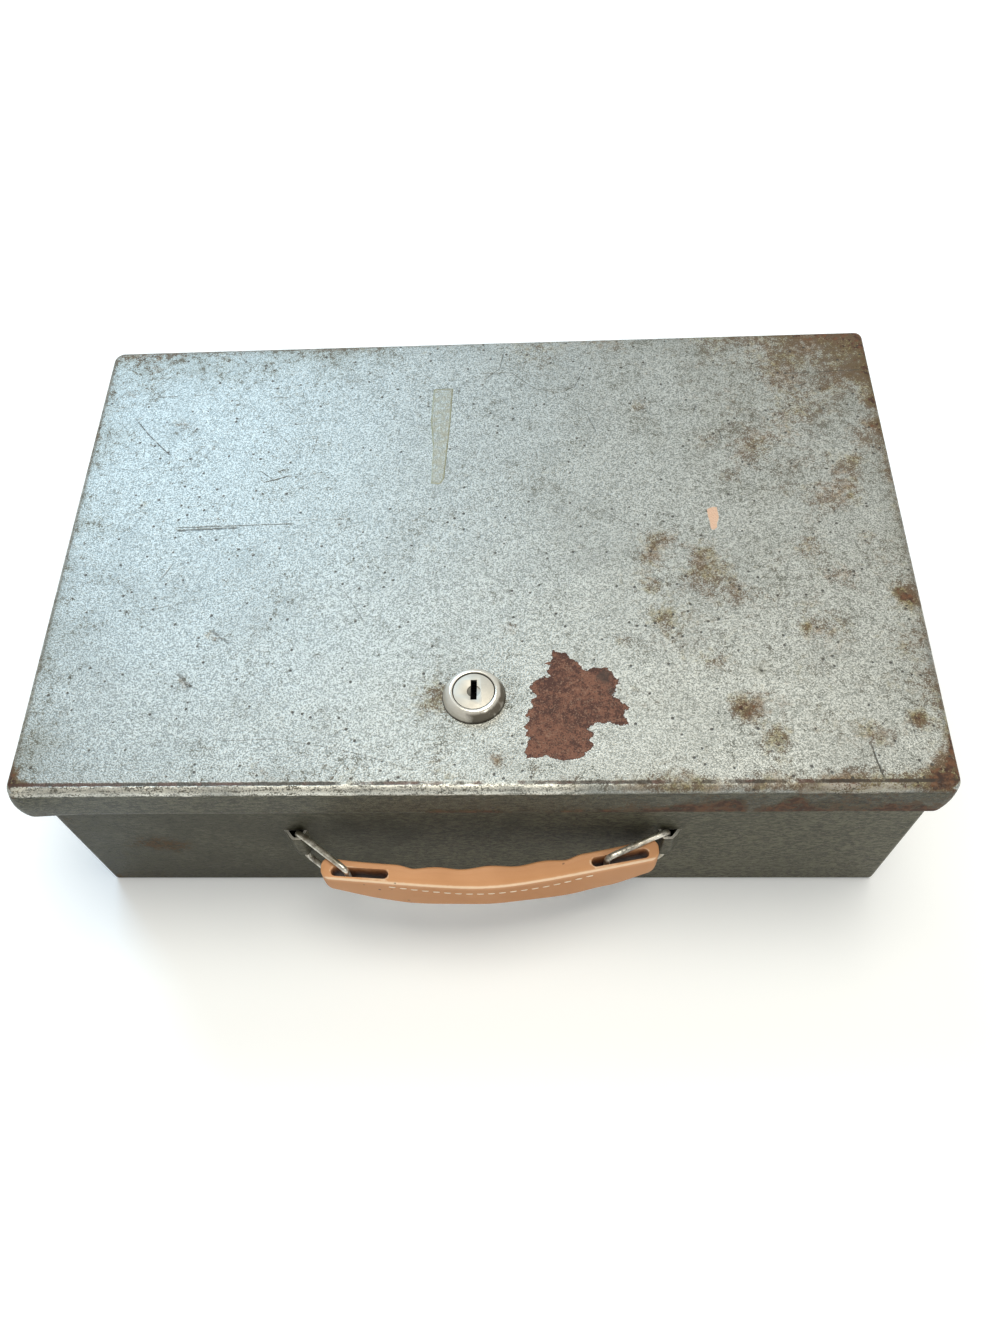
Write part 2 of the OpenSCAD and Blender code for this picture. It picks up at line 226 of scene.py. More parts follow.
# ---------------------------------------------------------------- shader helpers
class Shader:
    def __init__(self, name, **sockets):
        self.m = bpy.data.materials.new(name)
        self.m.use_nodes = True
        self.t = self.m.node_tree
        self.t.nodes.clear()
        out = self.t.nodes.new("ShaderNodeOutputMaterial")
        self.b = self.t.nodes.new("ShaderNodeBsdfPrincipled")
        self.t.links.new(self.b.outputs[0], out.inputs[0])
        self.co = self.t.nodes.new("ShaderNodeTexCoord").outputs["Object"]
        for k, v in sockets.items():
            self.set(k.replace("_", " "), v)

    def set(self, socket, value):
        self.put(self.b.inputs[socket], value)

    def put(self, socket, value):
        if isinstance(value, bpy.types.NodeSocket):
            self.t.links.new(value, socket)
        elif value is not None:
            if isinstance(value, (tuple, list)) and len(value) == 3 and socket.type == "RGBA":
                value = (*value, 1.0)
            socket.default_value = value

    def math(self, op, a, b=None, c=None, clamp=False):
        n = self.t.nodes.new("ShaderNodeMath")
        n.operation = op
        n.use_clamp = clamp
        for i, x in enumerate((a, b, c)):
            if x is not None:
                self.put(n.inputs[i], x)
        return n.outputs[0]

    def add(self, a, b): return self.math("ADD", a, b)
    def mul(self, a, b): return self.math("MULTIPLY", a, b)
    def sub(self, a, b): return self.math("SUBTRACT", a, b)
    def most(self, a, b): return self.math("MAXIMUM", a, b)
    def least(self, a, b): return self.math("MINIMUM", a, b)

    def vec(self, op, a, b=None, scale=None):
        n = self.t.nodes.new("ShaderNodeVectorMath")
        n.operation = op
        self.put(n.inputs[0], a)
        if b is not None:
            self.put(n.inputs[1], b)
        if scale is not None:
            self.put(n.inputs["Scale"], scale)
        return n.outputs["Value"] if op in ("LENGTH", "DOT_PRODUCT", "DISTANCE") else n.outputs["Vector"]

    def ramp(self, x, lo, hi, a=0.0, b=1.0, smooth=True):
        n = self.t.nodes.new("ShaderNodeMapRange")
        n.interpolation_type = "SMOOTHSTEP" if smooth else "LINEAR"
        for i, v in enumerate((x, lo, hi, a, b)):
            self.put(n.inputs[i], v)
        return n.outputs[0]

    def mix(self, fac, a, b, blend="MIX"):
        n = self.t.nodes.new("ShaderNodeMix")
        n.data_type = "RGBA"
        n.blend_type = blend
        n.clamp_factor = True
        self.put(n.inputs[0], fac)
        self.put(n.inputs[6], a)
        self.put(n.inputs[7], b)
        return n.outputs[2]

    def mixf(self, fac, a, b):
        n = self.t.nodes.new("ShaderNodeMix")
        n.data_type = "FLOAT"
        self.put(n.inputs[0], fac)
        self.put(n.inputs[2], a)
        self.put(n.inputs[3], b)
        return n.outputs[0]

    def noise(self, scale, detail=2.0, rough=0.5, vec=None, dist=0.0, out="Fac"):
        n = self.t.nodes.new("ShaderNodeTexNoise")
        self.put(n.inputs["Vector"], vec or self.co)
        n.inputs["Scale"].default_value = scale
        n.inputs["Detail"].default_value = detail
        n.inputs["Roughness"].default_value = rough
        n.inputs["Distortion"].default_value = dist
        return n.outputs[out]

    def cells(self, scale, feature="F1", vec=None, out="Distance", rand=1.0, smooth=None):
        n = self.t.nodes.new("ShaderNodeTexVoronoi")
        n.feature = feature
        self.put(n.inputs["Vector"], vec or self.co)
        n.inputs["Scale"].default_value = scale
        n.inputs["Randomness"].default_value = rand
        if smooth is not None:
            n.inputs["Smoothness"].default_value = smooth
        return n.outputs[out]

    def attr(self, name):
        n = self.t.nodes.new("ShaderNodeAttribute")
        n.attribute_name = name
        return n.outputs["Fac"]

    def split(self, v):
        n = self.t.nodes.new("ShaderNodeSeparateXYZ")
        self.put(n.inputs[0], v)
        return n.outputs

    def join(self, x, y, z):
        n = self.t.nodes.new("ShaderNodeCombineXYZ")
        for i, v in enumerate((x, y, z)):
            self.put(n.inputs[i], v)
        return n.outputs[0]

    def stretch(self, x, y, z):
        return self.vec("MULTIPLY", self.co, (x, y, z))

    def bump(self, height, strength, distance_mm, normal=None):
        n = self.t.nodes.new("ShaderNodeBump")
        n.inputs["Strength"].default_value = strength
        n.inputs["Distance"].default_value = distance_mm * MM
        self.put(n.inputs["Height"], height)
        if normal is not None:
            self.put(n.inputs["Normal"], normal)
        return n.outputs[0]


# ---------------------------------------------------------------- wear
def blobs(p, items):
    """Sum of soft round spots: (x, y, radius mm, strength) on the lid's top."""
    total = np.zeros(len(p))
    for x, y, r, s in items:
        total += s * np.exp(-((p[:, 0] - x) ** 2 + (p[:, 1] - y) ** 2) / (r * r))
    return total


def outline_distance(p, loop):
    """Signed distance in mm from points to a closed outline, negative inside."""
    loop = np.asarray(loop, float)
    best = np.full(len(p), 1e9)
    inside = np.zeros(len(p), bool)
    for i in range(len(loop)):
        a, b = loop[i], loop[(i + 1) % len(loop)]
        ab = b - a
        pa = p[:, :2] - a
        h = np.clip((pa @ ab) / max(ab @ ab, 1e-9), 0, 1)
        best = np.minimum(best, np.hypot(pa[:, 0] - h * ab[0], pa[:, 1] - h * ab[1]))
        cross = ((a[1] > p[:, 1]) != (b[1] > p[:, 1]))
        with np.errstate(divide="ignore", invalid="ignore"):
            xi = a[0] + (p[:, 1] - a[1]) / (b[1] - a[1]) * ab[0]
        inside ^= cross & (p[:, 0] < xi)
    return np.where(inside, -best, best)


def lid_points(pixels, x0=0.0, y0=0.0, k=1.0):
    return [tuple(on_z(x0 + x / k, y0 + y / k)[:2]) for x, y in pixels]


def spot(px, py, r, s):
    q = on_z(px, py)
    return (q[0], q[1], r, s)


# the large chip beside the lock: its torn outline, in the photograph's frame
CHIP = lid_points([
    (868, 62), (930, 85), (958, 82), (985, 120), (1035, 145), (1068, 190), (1110, 198), (1140, 172),
    (1215, 178), (1222, 200), (1255, 205), (1282, 245), (1310, 280), (1270, 300), (1288, 330), (1245, 365),
    (1290, 378), (1315, 408), (1378, 430), (1330, 480), (1372, 540), (1325, 560), (1230, 540), (1140, 545),
    (1085, 580), (1145, 620), (1100, 645), (1138, 670), (1135, 700), (1085, 745), (1030, 780), (940, 782),
    (850, 770), (825, 755), (765, 772), (683, 778), (700, 750), (683, 730), (700, 690), (715, 640),
    (680, 628), (705, 600), (672, 570), (715, 545), (710, 520), (668, 485), (720, 497), (690, 455),
    (735, 430), (718, 380), (765, 380), (712, 300), (755, 265), (810, 240), (845, 235), (830, 205),
    (845, 165), (812, 158), (870, 125), (848, 95)], 420, 640, 6.533)
SALMON = lid_points([(706, 508), (717, 506), (719, 516), (717, 528), (712, 531), (709, 520)])
TAPE = lid_points([(434, 389), (453, 388), (450, 425), (444, 478), (440, 484), (431, 483), (433, 445), (431, 420)])

STAINS = [
    spot(655, 542, 7, 0.55), spot(648, 560, 6, 0.45), spot(668, 536, 5, 0.45), spot(652, 585, 6, 0.42),
    spot(705, 552, 7, 0.5), spot(718, 572, 7, 0.55), spot(695, 575, 6, 0.35), spot(735, 590, 5, 0.35),
    spot(742, 452, 8, 0.34), spot(755, 440, 6, 0.28), spot(708, 440, 5, 0.25), spot(725, 476, 5, 0.22),
    spot(850, 478, 7, 0.45), spot(852, 460, 4, 0.5), spot(845, 495, 6, 0.35), spot(860, 438, 5, 0.4),
    spot(825, 500, 7, 0.4), spot(810, 545, 7, 0.38), spot(840, 575, 6, 0.35), spot(865, 535, 5, 0.3),
    spot(638, 405, 4, 0.55), spot(908, 597, 4.0, 1.15), spot(900, 590, 3, 0.6), spot(748, 712, 5, 0.62),
    spot(740, 705, 4, 0.6), spot(758, 700, 5, 0.35), spot(776, 740, 5, 0.5), spot(785, 733, 4, 0.4),
    spot(497, 760, 3.6, 0.75), spot(918, 718, 3.4, 1.2), spot(880, 735, 5, 0.4), spot(868, 728, 4, 0.3),
    spot(512, 627, 3, 0.45), spot(622, 640, 3.5, 0.45), spot(660, 618, 5, 0.5), spot(808, 628, 4, 0.65),
    spot(705, 658, 4, 0.35), spot(720, 660, 4, 0.35), spot(535, 768, 3.5, 0.35), spot(570, 786, 4, 0.7),
    spot(775, 345, 14, 0.38), spot(820, 345, 12, 0.50), spot(850, 345, 9, 0.62), spot(868, 372, 7, 0.62),
    spot(872, 400, 4, 1.0), spot(876, 425, 4, 0.8), spot(840, 372, 9, 0.35), spot(815, 395, 14, 0.22),
    spot(790, 420, 12, 0.2), spot(770, 370, 10, 0.3), spot(700, 345, 14, 0.18), spot(530, 352, 12, 0.25),
    spot(150, 372, 10, 0.22), spot(135, 392, 7, 0.18), spot(181, 681, 2.6, 0.42), spot(186, 686, 2.4, 0.36),
    spot(218, 637, 2.6, 0.36), spot(212, 633, 2.2, 0.3), spot(182, 425, 3.4, 0.3), spot(144, 508, 3.5, 0.26),
    spot(430, 690, 9, 0.28), spot(445, 702, 5, 0.4), spot(508, 695, 4, 0.5), spot(420, 712, 9, 0.16),
    spot(938, 776, 5, 0.8), spot(947, 762, 4, 0.85), spot(915, 780, 5, 0.3), spot(865, 785, 10, 0.40),
    spot(790, 790, 12, 0.45), spot(705, 792, 14, 0.22), spot(672, 787, 10, 0.38), spot(620, 790, 8, 0.3),
    spot(350, 782, 12, 0.25),
    spot(250, 783, 14, 0.18), spot(440, 785, 14, 0.3), spot(905, 650, 8, 0.3), spot(925, 690, 7, 0.3),
    spot(880, 560, 8, 0.22), spot(690, 620, 16, 0.2), spot(780, 600, 20, 0.16), spot(640, 700, 12, 0.1),
    spot(800, 480, 26, 0.22), spot(600, 360, 26, 0.12), spot(740, 400, 26, 0.2), spot(820, 700, 26, 0.2), spot(680, 600, 26, 0.14),
    spot(860, 620, 22, 0.18), spot(820, 400, 26, 0.14), spot(945, 790, 5, 0.9), spot(505, 470, 30, 0.05),
]
GRIME = [
    spot(150, 372, 16, 0.5), spot(215, 365, 16, 0.35), spot(290, 352, 20, 0.35), spot(360, 350, 20, 0.3),
    spot(440, 690, 12, 0.35), spot(430, 712, 14, 0.25), spot(505, 690, 8, 0.3), spot(470, 728, 9, 0.2),
    spot(830, 365, 26, 0.45), spot(720, 380, 34, 0.28), spot(760, 480, 40, 0.2), spot(840, 560, 34, 0.2),
    spot(640, 420, 34, 0.14), spot(100, 520, 10, 0.3), spot(60, 640, 10, 0.35), spot(35, 740, 10, 0.4),
    spot(560, 520, 60, 0.08), spot(120, 440, 10, 0.35), spot(763, 665, 5, 0.45), spot(740, 668, 4, 0.4),
    spot(757, 670, 4, 0.4),
    spot(604, 676, 3.6, 0.9), spot(612, 690, 2.5, 0.5), spot(575, 655, 3, 0.4),
]
# scratches: pixels along each, half width in mm, strength
SCRATCHES = [
    ([(178, 530.5), (236, 527.5)], 0.55, 0.8), ([(178, 527.5), (296, 523.5)], 0.3, 0.7),
    ([(286, 520), (352, 519)], 0.22, 0.35), ([(266, 482), (289, 476)], 0.3, 0.9), ([(262, 472), (274, 480)], 0.25, 0.7),
    ([(136, 419), (150, 436), (170, 455)], 0.28, 0.8), ([(158, 397), (177, 396)], 0.28, 0.6),
    ([(196, 395), (212, 394)], 0.28, 0.5), ([(272, 397), (288, 397)], 0.28, 0.5), ([(313, 452), (318, 436)], 0.2, 0.6),
    ([(504, 353), (500, 368), (485, 379)], 0.28, 0.6),
    ([(484, 373), (511, 372), (535, 388), (560, 393)], 0.26, 0.6), ([(560, 393), (575, 386), (585, 367)], 0.26, 0.7),
    ([(561, 397), (600, 417), (648, 436)], 0.24, 0.45), ([(588, 416), (597, 433)], 0.25, 0.6),
    ([(609, 513), (650, 536)], 0.24, 0.45), ([(693, 414), (696, 405)], 0.3, 0.7),
    ([(719, 430), (722, 440)], 0.32, 0.8), ([(730, 407), (758, 418)], 0.24, 0.4), ([(786, 373), (860, 369.5)], 0.3, 0.7),
    ([(790, 388), (806, 383)], 0.4, 0.7), ([(800, 430), (830, 442), (858, 452)], 0.24, 0.5),
    ([(222, 741), (275, 739), (327, 747), (367, 756), (409, 769)], 0.22, 0.45),
    ([(345, 592), (362, 618)], 0.22, 0.5), ([(872, 745), (877, 760), (884, 777)], 0.4, 0.9),
    ([(910, 716), (917, 738)], 0.3, 0.6), ([(655, 575), (668, 583)], 0.4, 0.6), ([(160, 580), (172, 565)], 0.4, 0.55),
    ([(213, 631), (220, 637), (229, 643)], 0.7, 0.6), ([(177, 674), (183, 679), (188, 687)], 0.75, 0.55),
    ([(375, 521), (420, 520)], 0.2, 0.3), ([(230, 650), (330, 655)], 0.2, 0.25), ([(120, 470), (190, 466)], 0.2, 0.25),
    ([(300, 640), (365, 612)], 0.2, 0.2), ([(240, 395), (300, 455)], 0.2, 0.22), ([(380, 560), (470, 600)], 0.2, 0.2),
    ([(520, 470), (590, 500)], 0.2, 0.25), ([(150, 610), (240, 590)], 0.2, 0.25), ([(90, 700), (180, 726)], 0.2, 0.25),
    ([(560, 610), (640, 600)], 0.2, 0.25), ([(640, 690), (700, 730)], 0.2, 0.3), ([(800, 640), (850, 690)], 0.22, 0.3),
    ([(415, 640), (470, 655)], 0.2, 0.3), ([(250, 430), (330, 420)], 0.18, 0.25), ([(690, 470), (760, 500)], 0.2, 0.3),
]
LID_X, LID_W, LID_D = -1.5, 162.0, 108.5
FRONT_RUST = [  # thin staining along the front flange: pixel x of the middle, half width mm, strength
    (465, 14, 0.55), (500, 8, 0.4), (585, 14, 0.5), (640, 6, 0.4), (690, 14, 0.5), (728, 9, 0.6),
    (795, 10, 0.6), (838, 8, 0.35), (905, 12, 0.7), (935, 5, 0.6), (30, 8, 0.5), (560, 6, 0.35)]
# solid rust along the flange's lower edge, and at the lid's front corners
FLANGE_RUST = [
    [(640, 814), (640, 809.5), (662, 808.5), (675, 805.5), (690, 804.5), (702, 805), (712, 802), (722, 801), (733, 799.5),
     (741, 800.5), (745, 806), (745, 814)],
    [(755, 814), (757, 809), (768, 807), (778, 805), (786, 800), (793, 797.5), (802, 797.5), (806, 802), (812, 806),
     (820, 808), (826, 810), (826, 814)],
    [(865, 814), (866, 809.5), (879, 807.5), (886, 804.5), (894, 803.5), (901, 806), (910, 805), (916, 802), (923, 805), (931, 808),
     (943, 808), (944, 814)],
    [(600, 816), (600, 810.5), (618, 810.5), (618, 816)], [(428, 816), (430, 811), (452, 811.5), (478, 811), (500, 811.5), (502, 816)],
    [(560, 816), (562, 811.5), (584, 811), (585, 816)]]
CORNER_RUST = [
    [(6, 735), (12, 735), (13.5, 765), (17.5, 776), (19, 782), (34, 786.5), (24, 789), (14, 791), (11, 797), (4, 797)],
    [(947, 735), (962, 735), (966, 800), (952, 798), (955, 791), (949, 785), (954, 775), (948, 762)]]


def scratch_channels(p):
    """Per channel: the signed distance to the nearest scratch in half widths, and its strength."""
    lines = [(np.array([on_z(*q)[:2] for q in pts]), w, k) for pts, w, k in SCRATCHES]
    fine = [np.vstack([a + (b - a) * t for a, b in zip(l[:-1], l[1:]) for t in np.linspace(0, 1, 12)[:, None]]) for l, _, _ in lines]
    sets = [[], [], []]
    for i in range(len(lines)):
        for c in range(3):
            near = [np.min(np.linalg.norm(fine[i][:, None] - fine[j][None], axis=2)) for j in sets[c]]
            if c == 2 or not near or min(near) > 7:
                sets[c].append(i)
                break
    out = []
    for c in range(3):
        best = np.full(len(p), 99.0)
        value, force = np.full(len(p), 8.0), np.zeros(len(p))
        for i in sets[c]:
            pts, w, k = lines[i]
            for s in range(len(pts) - 1):
                a, b = pts[s], pts[s + 1]
                ab = b - a
                n = np.hypot(*ab)
                pa = p[:, :2] - a
                along = (pa @ ab) / n
                off = (pa[:, 0] * ab[1] - pa[:, 1] * ab[0]) / n
                past = np.maximum(0, np.maximum(-along if s == 0 else -along - 0.6,
                                                along - n if s == len(pts) - 2 else along - n - 0.6))
                d = np.hypot(past, np.abs(off))
                hit = d < best
                best[hit] = d[hit]
                value[hit] = np.clip(off[hit] / w, -8, 8)
                force[hit] = k * np.clip(1 - past[hit] / 0.8, 0, 1) * (np.abs(off[hit]) < 3.0)
        out.append((value, force))
    return out


def lid_wear(me):
    """Writes the lid's wear and the painted shade of its flanges, as one number per vertex and kind."""
    p = coords(me)
    top = step(88.5, 91.6, p[:, 2])                     # 1 on the top sheet
    x, y, z = p.T
    dl, dr = x - (LID_X - LID_W), (LID_X + LID_W) - x
    df, dk = y + LID_D, LID_D - y
    stain = blobs(p, STAINS) * top
    grime = blobs(p, GRIME) * top
    # worn and rusted rims, uneven along their length
    wob = np.array([noise.noise(Vector((a * 0.03, b * 0.03, 3.1))) for a, b in zip(x, y)])
    wob2 = np.array([noise.noise(Vector((a * 0.11, b * 0.11, 9.7))) for a, b in zip(x, y)])
    rim_r = np.exp(-np.maximum(dr, 0) / 4.2) * (0.62 + 0.5 * wob + 0.35 * step(40, 100, y) + 0.4 * step(-60, -100, y))
    rim_l = np.exp(-np.maximum(dl, 0) / 3.0) * (0.46 + 0.5 * wob)
    rim_b = np.exp(-np.maximum(dk, 0) / 4.5) * (0.42 + 0.6 * wob + 0.5 * step(60, 140, x) + 0.25 * step(-60, -140, x))
    stain += (np.clip(rim_r, 0, 2) + np.clip(rim_l, 0, 2) + np.clip(rim_b, 0, 2)) * (0.55 + 0.45 * top)
    grime += 0.5 * np.exp(-np.maximum(np.minimum(dl, dr), 0) / 9) + 0.35 * np.exp(-np.maximum(dk, 0) / 9)
    # the flange's lower edge at the front, and a thinner line round the other sides
    low = np.exp(-np.maximum(z - 74, 0) / 3.2) * (1 - top)
    front = (df < 6) & (z < 91.2)
    band = np.zeros(len(p))
    for px, half, s in FRONT_RUST:
        qx = on_y(px, 806)[0]
        band += s * np.exp(-((x - qx) / half) ** 2)
    stain += 0.50 * step(30, 66, x) * np.exp(-((df - 2.0) / 3.4) ** 2) * (1 + 1.2 * wob2)
    stain += np.where(front, low * (band + 0.18 + 0.4 * np.maximum(wob2, 0)), low * (0.45 + 0.9 * wob2))
    flat = np.column_stack([x, z])
    for loop in FLANGE_RUST:
        q = [(on_y(*c)[0], on_y(*c)[2]) for c in loop]
        stain = np.where(front, np.maximum(stain, 1.36 * np.clip(0.84 - outline_distance(flat, q) / 2.6, 0, 1)), stain)
    for loop in CORNER_RUST:
        stain = np.where(z > 88.5, np.maximum(stain, 1.35 * np.clip(0.55 - outline_distance(p, [on_z(*c, 91.5)[:2] for c in loop]) / 2.0, 0, 1)), stain)
    # how worn the front fold is along its length, and how open the crack behind it
    bright = np.clip(0.80 + 0.6 * wob2 - 0.74 * step(22, 52, x) + 0.25 * step(85, 150, x) * wob2, 0.04, 1.3)
    crack = np.clip(0.80 + 0.8 * wob + 0.4 * wob2 + 0.35 * step(-20, -120, x) - 0.25 * step(-40, 20, x) * (1 - step(40, 60, x)), 0.1, 1.2)
    d = outline_distance(p, CHIP)
    chip = np.clip(0.5 - d / 5.0, 0, 1) * (z > 91)
    sal = np.clip(0.5 - outline_distance(p, SALMON) / 4.0, 0, 1) * (z > 91)
    tape = np.clip(0.5 - outline_distance(p, TAPE) / 8.0, 0, 1) * (z > 91)
    for c, (d, k) in enumerate(scratch_channels(p)):
        paint_floats(me, **{"scratch_d%d" % c: d, "scratch_k%d" % c: k * (z > 91)})
    fold = np.minimum(np.minimum(dl, dr), np.minimum(df, dk)) + z - 89       # 6 to 0 round the fold
    # painted shade: the upright flanges are darkened, fully on the front and at 0.72 on the other sides
    side = (1 - step(0.0, 1.3, fold)) * np.where(df < np.minimum(dk, np.minimum(dl, dr)) + 0.5, 1.0, 0.72)
    under = (np.minimum(np.minimum(dl, dr), np.minimum(df, dk)) > 0.8) & (z < 91.1)
    stain, grime = np.where(under, 0.06, stain), np.where(under, 0.15, grime)
    bright, crack = np.where(under, 0.0, bright), np.where(under, 0.0, crack)
    paint_floats(me, side=side, stain=stain, grime=grime, bright=bright, crack=crack, chip=chip, salmon=sal, tape=tape)


# ---------------------------------------------------------------- materials
def enamel(name, lid=False):
    """Hammer-finish enamel over steel, with its specks, stains and rust; the body's copy is darker, as painted shade,
    and the lid's has painted glints and painted shade on its flanges.
    """
    s = Shader(name, IOR=1.5)
    g1, g2, g3 = s.split(s.noise(1650, 1.8, 0.7, out="Color"))        # the dimples, under a millimetre
    grain = g1
    b1, b2, b3 = s.split(s.noise(400, 3, 0.62, out="Color"))
    c1, c2, c3 = s.split(s.noise(72, 4, 0.62, dist=0.3, out="Color"))
    broad = s.noise(11, 3, 0.55)
    rub = s.noise(880, 2.5, 0.7, vec=s.stretch(0.55, 0.55, 1.4))      # fine level streaks on the upright sheets
    # the body's colours are a darkened copy of the lid's paint: painted shade over the body and the hinge
    light, dark = ((0.525, 0.533, 0.497), (0.235, 0.244, 0.224)) if lid else ((0.129, 0.122, 0.078), (0.050, 0.048, 0.030))
    col = s.mix(s.ramp(grain, 0.40, 0.60), dark, light)
    col = s.mix(s.mul(s.ramp(s.add(broad, s.mul(s.sub(c3, 0.5), 0.5)), 0.42, 0.72), 0.35), col, tuple(c * (1.02 if lid else 1.1) for c in dark))
    if lid:
        side = s.attr("side")
        # painted highlight: small bright glints in the enamel
        col = s.mix(s.mul(s.ramp(g2, 0.60, 0.68), 0.7), col, (0.78, 0.80, 0.78))
        col = s.mix(s.mul(s.ramp(g3, 0.40, 0.32), 0.55), col, (0.10, 0.10, 0.085))
        # painted shade: the flanges take a darker, streaked copy of the enamel's colour
        col = s.mix(side, col, s.mix(1.0, col, s.mix(s.ramp(rub, 0.38, 0.62), (0.080, 0.075, 0.047), (0.252, 0.237, 0.160)), "MULTIPLY"))
    else:
        # painted shade: the body's level streaks in the same darkened colours
        col = s.mix(0.7, col, s.mix(s.ramp(rub, 0.37, 0.63), (0.028, 0.027, 0.016), (0.150, 0.141, 0.092)))
    stain, grime = s.attr("stain"), s.attr("grime")
    # film of dirt; on the body its dark colour also paints shade
    film = s.ramp(s.add(grime, s.mul(s.sub(c1, 0.5), 1.2)), 0.1, 1.1)
    col = s.mix(s.mul(film, 0.5 if lid else 0.85), col, (0.19, 0.175, 0.12) if lid else (0.024, 0.022, 0.011))
    # brown wash of the stains
    wash = s.ramp(s.add(s.add(stain, s.mul(s.sub(c2, 0.5), 1.1)), s.mul(s.sub(b2, 0.5), 1.5)), 0.18, 1.15)
    tint = s.mix(1.0, col, s.mix(s.ramp(c3, 0.42, 0.6), (0.66, 0.53, 0.25), (0.60, 0.40, 0.25)), "MULTIPLY")
    col = s.mix(s.mul(wash, 0.92), col, tint)
    # specks, dense in the stains and thin elsewhere
    field = s.add(s.mul(b1, 0.45), s.mul(g2, 0.55))
    load = s.add(s.mul(s.least(stain, 1.0), 0.125), s.add(s.mul(s.sub(c1, 0.5), 0.26), s.mul(grime, 0.06)))
    speck = s.ramp(s.add(field, load), 0.585, 0.625)
    speck_col = s.mix(s.ramp(s.add(stain, s.mul(s.sub(c2, 0.5), 1.0)), 0.05, 0.5), (0.100, 0.100, 0.074), (0.092, 0.052, 0.023))
    col = s.mix(s.mul(speck, 0.8), col, speck_col)
    # small black pits
    n = s.t.nodes.new("ShaderNodeTexVoronoi")
    s.put(n.inputs["Vector"], s.co)
    n.inputs["Scale"].default_value = 310
    keep = s.split(n.outputs["Color"])[0]
    pit = s.mul(s.ramp(s.add(n.outputs["Distance"], s.mul(b3, 0.12)), 0.265, 0.185), s.ramp(s.add(s.add(keep, s.mul(s.sub(c2, 0.5), 0.35)), s.mul(s.least(stain, 0.6), 0.30)), 0.735, 0.765))
    col = s.mix(s.mul(pit, 0.9), col, (0.035, 0.030, 0.022))
    # solid rust
    rust = s.ramp(s.add(s.add(stain, s.mul(s.sub(c2, 0.5), 0.7)), s.mul(s.sub(b3, 0.5), 2.2)), 1.10, 1.32)
    rust_col = s.mix(s.ramp(s.add(b1, s.mul(s.sub(c3, 0.5), 0.6)), 0.38, 0.66), (0.048, 0.022, 0.013), (0.150, 0.068, 0.031))
    # painted shade: rust on the flanges is darker as well
    if lid:
        rust_col = s.mix(s.mul(side, 0.35), rust_col, (0.066, 0.029, 0.010))
    col = s.mix(rust, col, rust_col)
    dull = s.most(s.mul(s.most(wash, speck), 0.6), rust)
    rough = s.mixf(dull, s.mixf(grain, 0.36, 0.46) if lid else s.mixf(grain, 0.42, 0.52), 0.86)
    metal = s.mixf(s.most(dull, pit), 0.55 if lid else 0.35, 0.0)
    height = s.sub(grain, s.mul(pit, 0.6))
    if lid:
        # bare primer where the enamel has come away
        jag = s.add(s.mul(s.sub(b1, 0.5), 0.62), s.mul(s.sub(g2, 0.5), 0.26))
        chip = s.add(s.attr("chip"), jag)
        chip_m = s.ramp(chip, 0.49, 0.53)
        prim = s.mix(s.ramp(s.add(s.add(s.mul(b2, 0.55), s.mul(g1, 0.45)), s.mul(s.sub(c1, 0.5), 0.6)), 0.41, 0.59), (0.070, 0.027, 0.018), (0.195, 0.083, 0.050))
        prim = s.mix(s.mul(s.ramp(s.add(g3, s.mul(s.sub(b3, 0.5), 0.5)), 0.56, 0.66), 0.6), prim, (0.28, 0.165, 0.110))
        prim = s.mix(s.mul(s.ramp(s.add(g2, s.mul(s.sub(c2, 0.5), 0.6)), 0.55, 0.64), 0.7), prim, (0.040, 0.021, 0.015))
        prim = s.mix(s.mul(s.ramp(s.add(grime, s.mul(s.sub(b3, 0.5), 0.8)), 0.3, 0.8), 0.7), prim, (0.050, 0.036, 0.028))
        col = s.mix(chip_m, col, prim)
        rim = s.mul(s.ramp(chip, 0.58, 0.53), chip_m)
        col = s.mix(s.mul(rim, 0.55), col, (0.035, 0.020, 0.014))
        lip = s.mul(s.ramp(chip, 0.42, 0.49), s.sub(1.0, chip_m))
        col = s.mix(s.mul(lip, s.ramp(b3, 0.42, 0.58, 0.1, 0.65)), col, (0.74, 0.74, 0.71))
        sal = s.ramp(s.add(s.attr("salmon"), s.mul(jag, 0.35)), 0.49, 0.54)
        col = s.mix(sal, col, s.mix(b2, (0.60, 0.36, 0.23), (0.68, 0.48, 0.36)))
        # film of old tape: clear, with a yellow rim where dirt has stuck
        tape = s.add(s.attr("tape"), s.mul(s.sub(b3, 0.5), 0.05))
        tape_in = s.ramp(tape, 0.49, 0.52)
        tape_rim = s.mul(s.ramp(tape, 0.475, 0.50), s.ramp(tape, 0.585, 0.53))
        col = s.mix(s.mul(tape_in, s.ramp(b2, 0.36, 0.62, 0.35, 0.80)), col, (0.325, 0.288, 0.200))
        col = s.mix(s.mul(tape_rim, s.ramp(c1, 0.35, 0.55, 0.35, 0.8)), col, (0.225, 0.20, 0.10))
